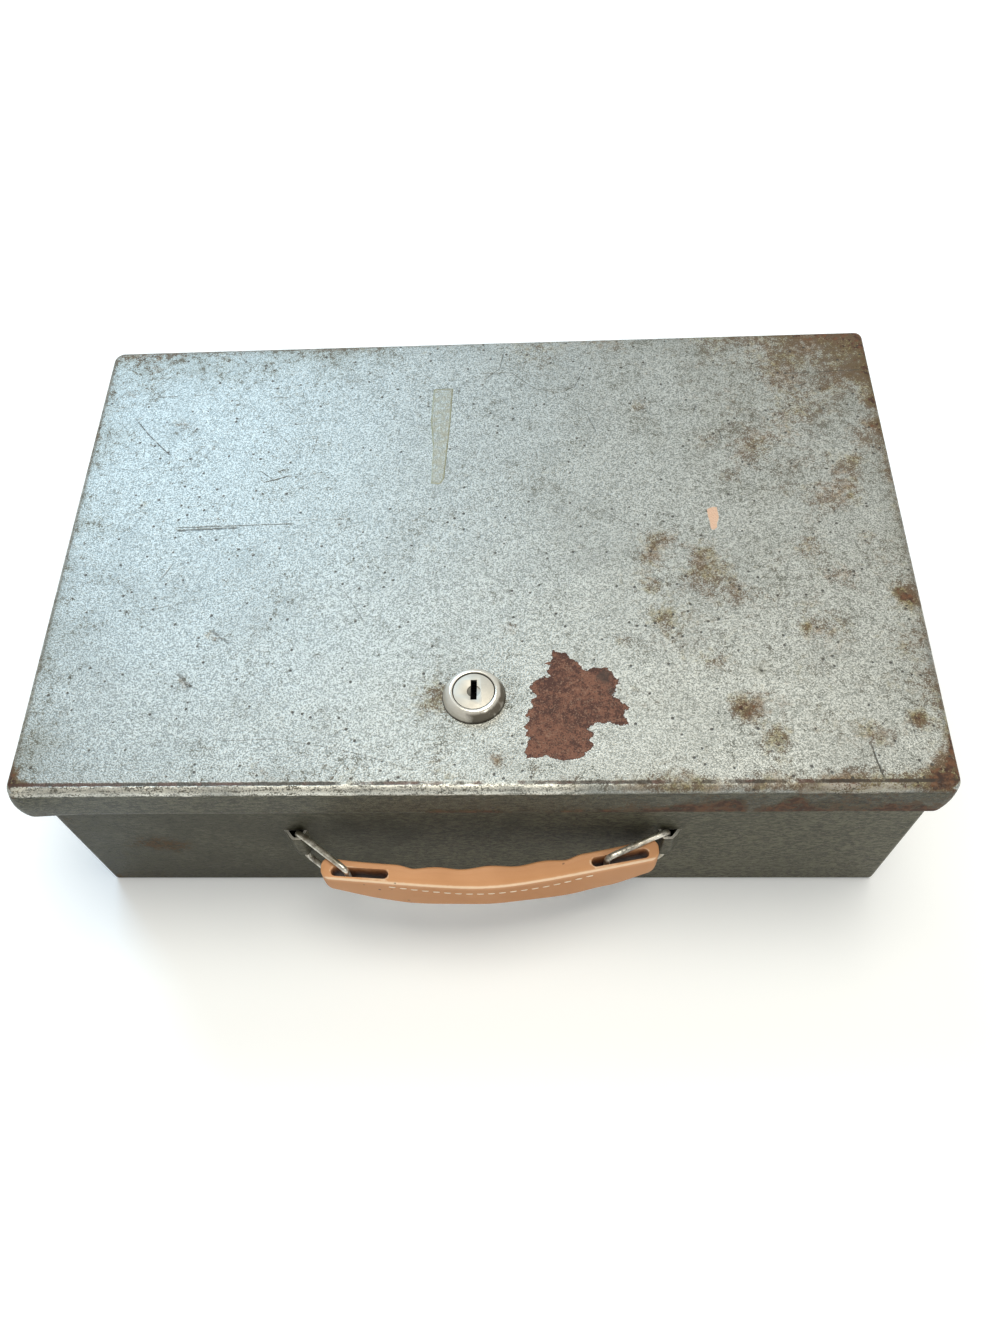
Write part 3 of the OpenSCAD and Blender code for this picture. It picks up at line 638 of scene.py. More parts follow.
        # bare scraped metal on the fold, and the line where the enamel cracked behind it
        px_, py_, pz_ = s.split(s.co)
        df = s.mul(s.add(py_, 0.1085), 1000.0)
        fold = s.add(df, s.mul(s.sub(pz_, 0.089), 1000.0))
        streak = s.noise(800, 3, 0.7, vec=s.stretch(0.22, 1.0, 1.0))
        band = s.mul(s.ramp(s.add(fold, s.mul(s.sub(b1, 0.5), 2.2)), 5.9, 5.1), s.ramp(s.add(fold, s.mul(s.sub(b2, 0.5), 1.6)), -0.5, 0.5))
        band = s.mul(band, s.attr("bright"))
        br = s.mul(band, s.ramp(s.add(s.mul(streak, 0.45), s.mul(g2, 0.55)), 0.44, 0.53))
        col = s.mix(s.mul(band, s.ramp(s.add(s.mul(streak, 0.5), s.mul(g3, 0.5)), 0.52, 0.44, 0.1, 0.95)), col, (0.105, 0.092, 0.062))
        col = s.mix(s.mul(br, 0.95), col, (0.84, 0.82, 0.73))
        bend = s.math("ABSOLUTE", s.add(s.sub(df, 3.1), s.mul(s.sub(b3, 0.5), 0.9)))
        ck = s.mul(s.ramp(bend, 0.88, 0.45), s.ramp(pz_, 0.0905, 0.0912))
        ck = s.mul(ck, s.ramp(s.add(s.attr("crack"), s.mul(s.sub(c1, 0.5), 2.6)), 0.35, 0.75))
        col = s.mix(s.mul(ck, 0.88), col, s.mix(s.ramp(s.add(c2, s.mul(px_, 0.45)), 0.40, 0.50), (0.080, 0.036, 0.024), (0.040, 0.030, 0.021)))
        # scratches
        shake = s.mul(s.sub(b2, 0.5), 1.5)
        marks = 0.0
        for c in range(3):
            off = s.math("ABSOLUTE", s.add(s.attr("scratch_d%d" % c), shake))
            marks = s.most(marks, s.mul(s.ramp(off, 1.15, 0.45), s.attr("scratch_k%d" % c)))
        marks = s.mul(marks, s.ramp(b1, 0.34, 0.50, 0.3, 1.0))
        col = s.mix(marks, col, (0.060, 0.055, 0.042))
        rough = s.mixf(s.most(chip_m, sal), rough, 0.84)
        rough = s.mixf(tape_in, rough, 0.30)
        metal = s.mixf(s.most(chip_m, sal), metal, 0.0)
        metal = s.mixf(br, metal, 0.8)
        height = s.mixf(chip_m, s.add(height, 0.9), s.mul(b1, 1.2))
        height = s.add(s.sub(height, s.mul(s.most(marks, ck), 0.6)), s.mul(tape_in, s.add(0.15, s.mul(b3, 0.3))))
    height = s.sub(height, s.mul(rust, s.mul(b2, 0.9)))
    s.set("Base Color", col)
    s.set("Roughness", rough)
    s.set("Metallic", metal)
    if not lid:
        s.set("Specular IOR Level", 0.3)
    s.set("Normal", s.bump(height, 0.85, 0.18))
    return s.m


def metal_stock(name, light, dark, rough, dirt=0.3, dirt_col=(0.07, 0.05, 0.03), scale=220, metallic=1.0, grain=(1, 1, 1), bump=0.15):
    s = Shader(name)
    n = s.noise(scale, 4, 0.65, vec=s.stretch(*grain))
    col = s.mix(s.ramp(n, 0.35, 0.68), light, dark)
    d = s.ramp(s.add(s.noise(scale * 0.3, 5, 0.7), s.mul(s.sub(s.noise(scale * 3, 3, 0.7), 0.5), 0.35)), 0.68 - dirt * 0.32, 0.74)
    col = s.mix(s.mul(d, 0.85), col, dirt_col)
    s.set("Base Color", col)
    s.set("Metallic", s.mixf(d, metallic, metallic * 0.35))
    s.set("Roughness", s.add(s.mixf(d, rough, 0.8), s.mul(s.sub(n, 0.5), 0.12)))
    s.set("Normal", s.bump(s.noise(scale * 4, 3, 0.6), bump, 0.05))
    return s.m


def lock_polar(s):
    """Distance from the lock's axis in mm, and the offsets along x and y."""
    x, y, z = s.split(s.co)
    dx, dy = s.mul(s.add(x, 0.0011), 1000.0), s.mul(s.add(y, 0.0715), 1000.0)
    return s.math("SQRT", s.add(s.mul(dx, dx), s.mul(dy, dy))), dx, dy, s.mul(z, 1000.0)


def bezel_chrome():
    """Plated bezel: bright on its rim, with a painted dark reflection low on the front and right, and painted shade on
    the back flank, at its foot and round the bore.
    """
    s = Shader("dull_chrome")
    r, dx, dy, z = lock_polar(s)
    n = s.noise(160, 4, 0.65)
    col = s.mix(s.ramp(n, 0.35, 0.68), (0.86, 0.83, 0.755), (0.76, 0.72, 0.63))
    # unit direction towards the front right, for the painted dark reflection on that flank
    side = s.math("DIVIDE", s.sub(s.mul(dx, 0.80), s.mul(dy, 0.60)), r)
    # painted reflection: the front right flank darkened, with less metal and more roughness
    painted_dark_reflection = s.mul(s.ramp(s.add(r, s.mul(s.sub(s.noise(420, 3, 0.6), 0.5), 0.9)), 8.9, 9.7),
                 s.ramp(s.add(side, s.mul(s.sub(s.noise(210, 3, 0.6), 0.5), 0.5)), 0.30, 0.60))
    streak = s.mul(s.ramp(s.noise(190, 2, 0.5, vec=s.stretch(1.0, 1.0, 0.3)), 0.53, 0.62), 0.55)
    col = s.mix(s.mul(painted_dark_reflection, s.sub(0.88, streak)), col, (0.085, 0.068, 0.045))
    # painted shade on the back flank
    painted_back_shade = s.mul(s.ramp(s.math("DIVIDE", dy, r), 0.55, 0.95), s.ramp(r, 9.3, 10.2))
    col = s.mix(s.mul(painted_back_shade, 0.75), col, (0.13, 0.12, 0.095))
    # painted shade at the bezel's foot and round the bore
    painted_foot_shade = s.ramp(s.add(r, s.mul(s.sub(n, 0.5), 0.5)), 10.75, 11.1)
    painted_bore_shade = s.ramp(r, 7.62, 7.48)
    low = s.most(painted_foot_shade, painted_bore_shade)
    col = s.mix(s.mul(low, 0.9), col, (0.030, 0.024, 0.015))
    s.set("Base Color", col)
    s.set("Metallic", s.mixf(s.most(s.mul(painted_dark_reflection, 0.25), low), 0.50, 0.2))
    s.set("Roughness", s.mixf(s.most(s.mul(painted_dark_reflection, 0.35), low), 0.19, 0.62))
    s.set("Normal", s.bump(s.noise(640, 3, 0.6), 0.06, 0.05))
    return s.m


def plug_nickel():
    """Satin face of the plug, with painted shade: darker just below the face and most on the left, and near black
    deeper down and at the rim, which gives the dark rim line and the black keyway.
    """
    s = Shader("satin_nickel", IOR=1.5)
    r, dx, dy, z = lock_polar(s)
    n = s.noise(300, 4, 0.6)
    col = s.mix(s.ramp(n, 0.3, 0.7), (0.555, 0.518, 0.448), (0.515, 0.478, 0.408))
    fine = s.noise(900, 2, 0.6, vec=s.stretch(0.25, 2.0, 1.0))
    col = s.mix(s.mul(s.ramp(fine, 0.6, 0.75), 0.25), col, (0.42, 0.40, 0.35))
    # painted shade just below the face, darker on the left
    painted_wall_shade = s.mul(s.ramp(z, 95.5, 95.3), s.ramp(dx, 0.6, -0.4, 0.35, 1.0))
    col = s.mix(s.mul(painted_wall_shade, 0.92), col, (0.10, 0.093, 0.078))
    # painted shade: near black deeper down and at the rim
    painted_deep_shade = s.most(s.ramp(z, 95.12, 94.9), s.ramp(r, 7.08, 7.2))
    col = s.mix(painted_deep_shade, col, (0.006, 0.005, 0.004))
    s.set("Base Color", col)
    s.set("Metallic", s.mixf(painted_deep_shade, 0.45, 0.0))
    s.set("Roughness", s.mixf(painted_deep_shade, s.add(0.42, s.mul(n, 0.12)), 0.9))
    s.set("Specular IOR Level", 0.4)
    s.set("Normal", s.bump(s.noise(1200, 3, 0.6), 0.08, 0.05))
    return s.m


def wafer_brass():
    """Brass wafers, painted near black, as shade, where the keyway passes through them."""
    s = Shader("wafer_brass", Metallic=1.0)
    r, dx, dy, z = lock_polar(s)
    n = s.noise(240, 4, 0.65)
    col = s.mix(s.ramp(n, 0.35, 0.68), (0.78, 0.60, 0.30), (0.62, 0.45, 0.2))
    # painted shade in the keyway
    painted_keyway_shade = s.ramp(s.math("ABSOLUTE", dx), 1.9, 1.4)
    s.set("Base Color", s.mix(s.mul(painted_keyway_shade, 0.97), col, (0.01, 0.008, 0.004)))
    s.set("Roughness", s.mixf(painted_keyway_shade, 0.38, 0.9))
    s.set("Normal", s.bump(s.noise(900, 3, 0.6), 0.15, 0.05))
    return s.m


def grip_plastic():
    s = Shader("grip_plastic", IOR=1.46)
    n = s.noise(28, 3, 0.5)
    col = s.mix(s.ramp(n, 0.35, 0.7), (0.745, 0.385, 0.190), (0.640, 0.315, 0.145))
    # painted shade: inside the slots and low down the plastic is darker and redder; it is darker round the slots' rims
    # on top as well
    # painted shade: the face below the ridge is browner than the top
    col = s.mix(s.mul(s.ramp(s.split(s.co)[2], 0.0505, 0.0475), 0.43), col, (0.34, 0.112, 0.004))
    dirt = s.ramp(s.add(s.attr("dirt"), s.mul(s.sub(s.noise(260, 4, 0.7), 0.5), 0.7)), 0.25, 0.95)
    col = s.mix(s.mul(dirt, 0.96), col, (0.050, 0.009, 0.005))
    # painted highlight along the ridge and the slots' front rims
    painted_highlight = s.ramp(s.add(s.attr("ridge"), s.mul(s.sub(s.noise(420, 3), 0.5), 0.4)), 0.35, 0.85)
    col = s.mix(s.mul(painted_highlight, 0.85), col, (0.98, 0.76, 0.54))
    p = s.vec("ADD", s.co, s.vec("SCALE", s.noise(500, 2, out="Color"), scale=0.001))
    sp = s.cells(240, vec=p)
    pick = s.split(s.cells(240, vec=p, out="Color"))[1]
    speck = s.mul(s.ramp(sp, 0.17, 0.09), s.ramp(pick, 0.80, 0.83))
    col = s.mix(s.mul(speck, 0.9), col, (0.09, 0.035, 0.02))
    s.set("Base Color", col)
    s.set("Roughness", s.add(0.46, s.mul(n, 0.18)))
    s.set("Specular IOR Level", 0.35)
    s.set("Normal", s.bump(s.add(s.noise(900, 3, 0.6), s.mul(s.noise(60, 2), 2.0)), 0.22, 0.12))
    return s.m


def stitch_material():
    s = Shader("stitch", Roughness=0.55)
    s.set("Base Color", s.mix(s.noise(600, 3), (1.0, 0.93, 0.78), (0.95, 0.81, 0.62)))
    s.set("Normal", s.bump(s.noise(2500, 2), 0.3, 0.05))
    return s.m


M_LID = enamel("lid_enamel", lid=True)
M_BODY = enamel("body_enamel")
M_HINGE = enamel("hinge_enamel")
M_PIN = metal_stock("drawn_steel", (0.55, 0.53, 0.50), (0.40, 0.38, 0.35), 0.35, 0.3)
M_CHROME = bezel_chrome()
M_NICKEL = plug_nickel()
M_BRASS = wafer_brass()
M_ZINC = metal_stock("zinc_plate", (0.58, 0.57, 0.54), (0.44, 0.43, 0.40), 0.42, 0.35)
M_WIRE = metal_stock("tarnished_wire", (0.86, 0.83, 0.74), (0.42, 0.38, 0.30), 0.30, 0.58, (0.046, 0.032, 0.019), scale=330, metallic=0.8, bump=0.5)
M_EDGE = metal_stock("sheared_edge", (0.90, 0.88, 0.82), (0.74, 0.72, 0.66), 0.42, 0.15, metallic=0.6)
M_GRIP = grip_plastic()
M_STITCH = stitch_material()


# ---------------------------------------------------------------- lid
def lid_radius(sx, sy):
    return 5.0 if sy < 0 or sx < 0 else 3.6


def build_lid():
    Lx, Ly, inset = LID_W, LID_D, 8.0
    hx, hy = Lx - inset, Ly - inset
    nx, ny = 280, 183
    gx, gy = np.linspace(-hx, hx, nx + 1), np.linspace(-hy, hy, ny + 1)
    lock = np.array([-1.1 - LID_X, -71.5])
    verts = [(x, y, 92.0) for y in gy for x in gx]

    def vid(i, j):
        return j * (nx + 1) + i
    faces = []
    for j in range(ny):
        for i in range(nx):
            c = np.array([(gx[i] + gx[i + 1]) / 2, (gy[j] + gy[j + 1]) / 2]) - lock
            if c @ c > 9.7 ** 2:
                faces.append((vid(i, j), vid(i + 1, j), vid(i + 1, j + 1), vid(i, j + 1)))
    loop = ([vid(i, 0) for i in range(nx)] + [vid(nx, j) for j in range(ny)]
            + [vid(i, ny) for i in range(nx, 0, -1)] + [vid(0, j) for j in range(ny, 0, -1)])
    n = len(loop)
    base = np.array([verts[k] for k in loop])

    def outer(x, y, d):
        """The point of the outline, pulled in by d, that belongs to a rim point of the grid."""
        sx, sy = (1 if x > 0 else -1), (1 if y > 0 else -1)
        R = lid_radius(sx, sy)
        A, B = 5.0, 30.0
        on_x_side = abs(abs(x) - hx) < 1e-6          # a point of the left or right side
        on_y_side = abs(abs(y) - hy) < 1e-6
        if on_x_side and on_y_side:
            t = 0.0
        elif on_y_side:
            t = hx - abs(x)
        else:
            t = hy - abs(y)
        cx, cy = Lx - R, Ly - R
        if t < A:
            th = math.radians(45) * (1 - t / A)
            if on_x_side and not on_y_side:
                px_, py_ = cx + (R - d) * math.cos(th), cy + (R - d) * math.sin(th)
            else:
                px_, py_ = cx + (R - d) * math.sin(th), cy + (R - d) * math.cos(th)
            return sx * px_, sy * py_
        c = R + (t - A) * (inset + B - R) / (B - A) if t < B else inset + t
        if on_y_side:
            return sx * (Lx - c), sy * (Ly - d)
        return sx * (Lx - d), sy * (Ly - c)

    ring0 = np.array([outer(x, y, 3.0) for x, y, _ in base])
    rings = []
    for t in (0.34, 0.67):
        rings.append(np.column_stack([base[:, 0] * (1 - t) + ring0[:, 0] * t,
                                      base[:, 1] * (1 - t) + ring0[:, 1] * t, np.full(n, 92.0)]))

    def ring(d, z):
        rings.append(np.array([(*outer(x, y, d), z) for x, y, _ in base]))
    for k in range(0, 9):
        a = math.pi / 2 * k / 8
        ring(3 - 3 * math.sin(a), 92 - 3 * (1 - math.cos(a)))
    for z in np.linspace(89, 74.5, 13)[1:]:
        ring(0, z)
    for d, z in ((0.12, 74.2), (0.35, 74.02), (0.65, 74.02), (0.88, 74.2), (1.0, 74.5), (1.0, 80), (1.0, 89)):
        ring(d, z)
    for k in range(1, 5):
        a = math.pi / 2 * (1 - k / 4)
        ring(3 - 2 * math.sin(a), 91 - 2 * (1 - math.cos(a)))
    prev = loop
    for r in rings:
        start = len(verts)
        verts += [tuple(q) for q in r]
        cur = list(range(start, start + n))
        for k in range(n):
            m = (k + 1) % n
            faces.append((prev[k], prev[m], cur[m], cur[k]))
        prev = cur
    inner_loop = prev
    me = bpy.data.meshes.new("lid_skin")
    me.from_pydata(verts, [], faces)
    bm = bmesh.new()
    bm.from_mesh(me)
    bm.verts.ensure_lookup_table()
    used = set(v.index for f in bm.faces for v in f.verts)
    bmesh.ops.delete(bm, geom=[v for v in bm.verts if v.index not in used], context="VERTS")
    # round the pixelled hole to the barrel's radius, and carry it down through the sheet
    rim = [e for e in bm.edges if e.is_boundary and (e.verts[0].co.xy - Vector(lock)).length < 20]
    rim_verts = {v for e in rim for v in e.verts}
    for v in rim_verts:
        d = v.co.xy - Vector(lock)
        d = d.normalized() * 9.6
        v.co.x, v.co.y = lock[0] + d.x, lock[1] + d.y
    wall = bmesh.ops.extrude_edge_only(bm, edges=rim)
    low = [v for v in wall["geom"] if isinstance(v, bmesh.types.BMVert)]
    for v in low:
        v.co.z = 91.0
    low_set = set(low)
    bottom = [e for e in bm.edges if e.is_boundary]
    bmesh.ops.triangle_fill(bm, edges=bottom, use_beauty=False, use_dissolve=False)
    # a slight slackness in the sheet, never above the true plane
    for v in bm.verts:
        x, y, z = v.co
        e = min(Lx - abs(x), Ly - abs(y))
        if z > 90.5 and e > 3:
            f = min(1, (e - 3) / 22)
            f = f * f * (3 - 2 * f)
            w = 0.5 + 0.5 * noise.noise(Vector((x * 0.013, y * 0.016, 1.7)))
            w += 0.35 * noise.noise(Vector((x * 0.04, y * 0.045, 5.2)))
            v.co.z -= 0.30 * f * max(0.0, w) * min(1, (Vector((x - lock[0], y - lock[1])).length) / 30)
        elif z < 88.9 and abs(y) > Ly - 1.5:
            g = 0.22 * (0.5 + 0.5 * noise.noise(Vector((x * 0.035, y * 0.01, 8.8)))) * (89 - z) / 15
            v.co.y -= g * (1 if y > 0 else -1)
        # the front left corner of the flange is bent out and a little down
        if z < 91.2 and x < -Lx + 50 and y < -Ly + 50:
            c = math.exp(-(math.hypot(max(0.0, x + Lx), max(0.0, y + Ly)) / 15) ** 2)
            k = c * min(1.0, (91.2 - z) / 14)
            out = 0.75 * k + 1.05 * c * math.sin(math.pi * min(1.0, (91.2 - z) / 17.2))
            v.co.x -= out
            v.co.y -= out
            v.co.z -= 0.55 * k * min(1.0, (91.2 - z) / 14)
        elif z < 91.2 and x > Lx - 50 and y < -Ly + 50:
            c = math.exp(-(math.hypot(max(0.0, Lx - x), max(0.0, y + Ly)) / 13) ** 2)
            out = 0.6 * c * math.sin(math.pi * min(1.0, (91.2 - z) / 17.2))
            v.co.x += out
            v.co.y -= out
        v.co.x += LID_X
    bmesh.ops.recalc_face_normals(bm, faces=bm.faces)
    bm.verts.ensure_lookup_table()
    for v in bm.verts:
        v.co *= MM
    bm.to_mesh(me)
    bm.free()
    lid_wear(me)
    ob = place("lid_skin", me, "lid", ("lid_shell",), 30)
    me.materials.append(M_LID)
    return ob


# ---------------------------------------------------------------- base
def build_tray():
    bw, bd, h, R = 158.0, 104.5, 90.5, 2.2
    lance = (-3.4, 5.4)                                # its inner and outer end, from the wire's leg
    xs = sorted(set([round(v, 3) for v in np.arange(-155, 155.1, 2.5)] + [-155.8, 155.8]
                    + [s * (69 + d) for s in (-1, 1) for d in lance]))
    xs = [x for x in xs if not any(0 < abs(x - s * (69 + d)) < 1.0 for s in (-1, 1) for d in lance)]
    outer, inner = [], []
    for k in range(6, 0, -1):
        a = math.pi / 2 * k / 6
        outer.append((-155.8 - 2.2 * math.sin(a), 2.2 * (1 - math.cos(a))))
        inner.append((-155.8 - 1.2 * math.sin(a), 1 + 1.2 * (1 - math.cos(a))))
    for x in xs:
        outer.append((x, 0.0))
        inner.append((x, 1.0))
    for k in range(1, 7):
        a = math.pi / 2 * k / 6
        outer.append((155.8 + 2.2 * math.sin(a), 2.2 * (1 - math.cos(a))))
        inner.append((155.8 + 1.2 * math.sin(a), 1 + 1.2 * (1 - math.cos(a))))
    zs = sorted(set([round(v, 3) for v in np.arange(3.5, 90, 2.5)] + [36.5, 51.0, 90.5, R]))
    zs = [z for z in zs if not any(0 < abs(z - q) < 0.9 for q in (36.5, 51.0))]
    stations = [(-bd, z, 1.0, 0.0) for z in reversed(zs)]
    for k in range(1, 6):
        a = math.pi / 2 * k / 6
        stations.append((-bd + R - R * math.cos(a), R - R * math.sin(a), math.cos(a), math.sin(a)))
    stations += [(y, 0.0, 0.0, 1.0) for y in np.linspace(-bd + R, bd - R, 60)]
    for k in range(5, 0, -1):
        a = math.pi / 2 * k / 6
        stations.append((bd - R + R * math.cos(a), R - R * math.sin(a), -math.cos(a), math.sin(a)))
    stations += [(bd, z, -1.0, 0.0) for z in zs]
    m = len(outer)
    verts = []
    for y, z, ny, nz in stations:
        for sec in (outer, inner):
            for x, d in sec:
                verts.append((x, y + ny * d, z + nz * d))

    def vid(s, j, layer):
        return s * 2 * m + layer * m + j

    def window(s, j):
        y, z0 = stations[s][0], stations[s][1]
        z1 = stations[s + 1][1] if s + 1 < len(stations) else z0
        x0 = outer[j][0]
        x1 = outer[j + 1][0] if j + 1 < m else x0
        if y > -bd + 0.01 or stations[s + 1][0] > -bd + 0.01:
            return False
        zc, xc = (z0 + z1) / 2, (x0 + x1) / 2
        return 36.5 < zc < 51.0 and any(lance[0] < s * xc - 69 < lance[1] for s in (-1, 1))
    faces = []
    ns = len(stations)
    win = [[window(s, j) for j in range(m - 1)] for s in range(ns - 1)]
    for s in range(ns - 1):
        for j in range(m - 1):
            if win[s][j]:
                for ds, dj, e in ((-1, 0, ((s, j), (s, j + 1))), (1, 0, ((s + 1, j), (s + 1, j + 1))),
                                  (0, -1, ((s, j), (s + 1, j))), (0, 1, ((s, j + 1), (s + 1, j + 1)))):
                    if not win[s + ds][j + dj]:
                        (a, b), (c, d) = e
                        faces.append((vid(a, b, 0), vid(c, d, 0), vid(c, d, 1), vid(a, b, 1)))
                continue
            faces.append((vid(s, j, 0), vid(s, j + 1, 0), vid(s + 1, j + 1, 0), vid(s + 1, j, 0)))
            faces.append((vid(s, j, 1), vid(s, j + 1, 1), vid(s + 1, j + 1, 1), vid(s + 1, j, 1)))
        for j in (0, m - 1):
            faces.append((vid(s, j, 0), vid(s, j, 1), vid(s + 1, j, 1), vid(s + 1, j, 0)))
    for s in (0, ns - 1):
        for j in range(m - 1):
            faces.append((vid(s, j, 0), vid(s, j + 1, 0), vid(s, j + 1, 1), vid(s, j, 1)))
    # hems, folded down inside the rims
    for sy in (-1, 1):
        k = len(verts)
        y0, y1 = sy * (bd - 1), sy * (bd - 2)
        for x in (-155.8, 155.8):
            verts += [(x, y0, 82.5), (x, y1, 82.5), (x, y1, 90.2), (x, y1 + sy * 0.3, 90.5), (x, y0, 90.5)]
        faces += [tuple(k + i for i in range(5)), tuple(k + 5 + i for i in range(5))]
        faces += [(k + i, k + (i + 1) % 5, k + 5 + (i + 1) % 5, k + 5 + i) for i in range(5)]
    ob = make("tray_skin", verts, faces, "base", ("base_tray",), 40)
    ob.data.materials.append(M_BODY)
    p = coords(ob.data)
    x, y, z = p.T
    wob = np.array([noise.noise(Vector((a * 0.05, b * 0.05, c * 0.09))) for a, b, c in p])
    stain = 0.16 * np.exp(-z / 5) * (1 + wob) + np.clip(0.25 * wob, 0, 1) * 0.5
    q = on_y(161, 844, -104.5)
    stain += (y < -100) * 0.78 * np.exp(-(((x - q[0]) / 11) ** 2 + ((z - q[2]) / 6) ** 2))
    edge = np.minimum(158 - np.abs(x), 400)
    stain += 0.25 * np.exp(-np.abs(edge) / 2.5) * (1 + wob)
    # painted shade on the front panel: a darker band across the middle around the handle's height, darker towards the
    # left and round the bridges; darker towards the bottom all round
    grime = 0.35 * np.exp(-z / 14) + 0.3 * np.exp(-(((x - 0) / 95) ** 2 + ((z - 56) / 12) ** 2)) * (y < -100)
    grime += 0.75 * step(40, -130, x) * (y < -100)
    for s in (-1, 1):
        grime += 0.45 * np.exp(-(((x - s * 69) / 12) ** 2 + ((z - 46) / 10) ** 2)) * (y < -100)
    paint_floats(ob.data, stain=stain, grime=grime)
    return ob


def build_lances():
    """The two bridges of the front panel, with smooth shoulders and bare sheared edges."""
    verts, faces, mats = [], [], []
    for s in (-1, 1):
        mid = []
        for x in np.linspace(-3.4, 5.4, 45):
            rise = 4.0 * float(step(0, 1, (5.4 - x) / 4.4)) * float(step(0, 1, (x + 3.4) / 2.3))
            mid.append((x, -rise))
        mid = np.array(mid)
        t = np.gradient(mid, axis=0)
        t /= np.linalg.norm(t, axis=1)[:, None]
        nrm = np.column_stack([t[:, 1], -t[:, 0]])     # towards -y, outwards
        nrm[0] = nrm[-1] = (0, -1)
        o, i_ = mid + nrm * 0.5, mid - nrm * 0.5
        rows = [(z, 0.0) for z in (36.5, 36.75, 39.0, 41.5, 44.0, 46.5, 49.0, 50.75, 51.0)]
        start = len(verts)
        m = len(mid)
        for z, _ in rows:
            for q in (*o, *i_[::-1]):
                verts.append((s * (69 + q[0]), -104.5 + 0.5 + q[1], z))
        n = 2 * m
        for a in range(len(rows) - 1):
            for k in range(n):
                j = (k + 1) % n
                faces.append((start + a * n + k, start + a * n + j, start + (a + 1) * n + j, start + (a + 1) * n + k))
                mats.append(0)
        for a in (0, len(rows) - 1):
            for k in range(m - 1):
                faces.append((start + a * n + k, start + a * n + k + 1, start + a * n + n - 2 - k, start + a * n + n - 1 - k))
                mats.append(1)
    ob = make("lance_bridges", verts, faces, "base", (), 40)
    ob.data.materials.append(M_BODY)
    ob.data.materials.append(M_EDGE)
    ob.data.polygons.foreach_set("material_index", mats)
    q = coords(ob.data)
    paint_floats(ob.data, stain=0.25 * np.exp(-(51.0 - q[:, 2]) / 3), grime=0.35 + 0.3 * np.exp(-(q[:, 2] - 36.5) / 4))
    # bare sheared edges of the windows above each bridge, and below the left one
    v, f = [], []
    for s in (-1, 1):
        for z0, z1 in ((51.0, 51.06), (36.44, 36.5))[:1 if s > 0 else 2]:
            k = len(v)
            for x in (-3.35, 5.35):
                for y in (-104.54, -103.46):
                    for z in (z0, z1):
                        v.append((s * (69 + x), y, z))
            f += [(k, k + 1, k + 3, k + 2), (k + 4, k + 6, k + 7, k + 5), (k, k + 4, k + 5, k + 1),
                  (k + 2, k + 3, k + 7, k + 6), (k, k + 2, k + 6, k + 4), (k + 1, k + 5, k + 7, k + 3)]
    e = make("lance_edges", v, f, "base", (), 40)
    e.data.materials.append(M_EDGE)
    return ob


def build_end(side):
    s = side
    name = "left_end_skin" if s < 0 else "right_end_skin"
    node = "left_end_panel" if s < 0 else "right_end_panel"
    verts, faces = [], []

    def slab(x0, x1, y0, y1, z0, z1, ny=1, nz=1):
        k = len(verts)
        ys, zs = np.linspace(y0, y1, ny + 1), np.linspace(z0, z1, nz + 1)
        for x in (x0, x1):
            for y in ys:
                for z in zs:
                    verts.append((s * x, y, z))
        c = (ny + 1) * (nz + 1)

        def q(l, i, j): return k + l * c + i * (nz + 1) + j
        for l in (0, 1):
            for i in range(ny):
                for j in range(nz):
                    faces.append((q(l, i, j), q(l, i + 1, j), q(l, i + 1, j + 1), q(l, i, j + 1)))
        for i in range(ny):
            for j in (0, nz):
                faces.append((q(0, i, j), q(0, i + 1, j), q(1, i + 1, j), q(1, i, j)))
        for j in range(nz):
            for i in (0, ny):
                faces.append((q(0, i, j), q(0, i, j + 1), q(1, i, j + 1), q(1, i, j)))
    slab(157, 158, -102.3, 102.3, 2.2, 90.5, 80, 34)
    slab(148, 156.9, -103.4, 103.4, 1.05, 2.0, 4, 1)
    slab(148, 156.9, -103.45, -102.5, 2.05, 82.0, 1, 4)
    slab(148, 156.9, 102.5, 103.45, 2.05, 82.0, 1, 4)
    slab(156, 156.95, -102.3, 102.3, 82.5, 90.5, 4, 1)
    ob = make(name, verts, faces, "base", (node,), 40)
    bevelled(ob, 0.15, 50, 1)
    ob.data.materials.append(M_BODY)
    p = coords(ob.data)
    x, y, z = p.T
    wob = np.array([noise.noise(Vector((a * 0.05, b * 0.05, c * 0.09))) for a, b, c in p])
    stain = 0.22 * np.exp(-z / 6) * (1 + wob) + np.clip(0.3 * wob, 0, 1) * 0.6
    stain += 0.3 * np.exp(-(102.3 - np.abs(y)) / 3) * (1 + wob)
    paint_floats(ob.data, stain=stain, grime=0.35 * np.exp(-z / 14) + 0.1)
    return ob


# ---------------------------------------------------------------- lock
LOCK = (-1.1, -71.5)


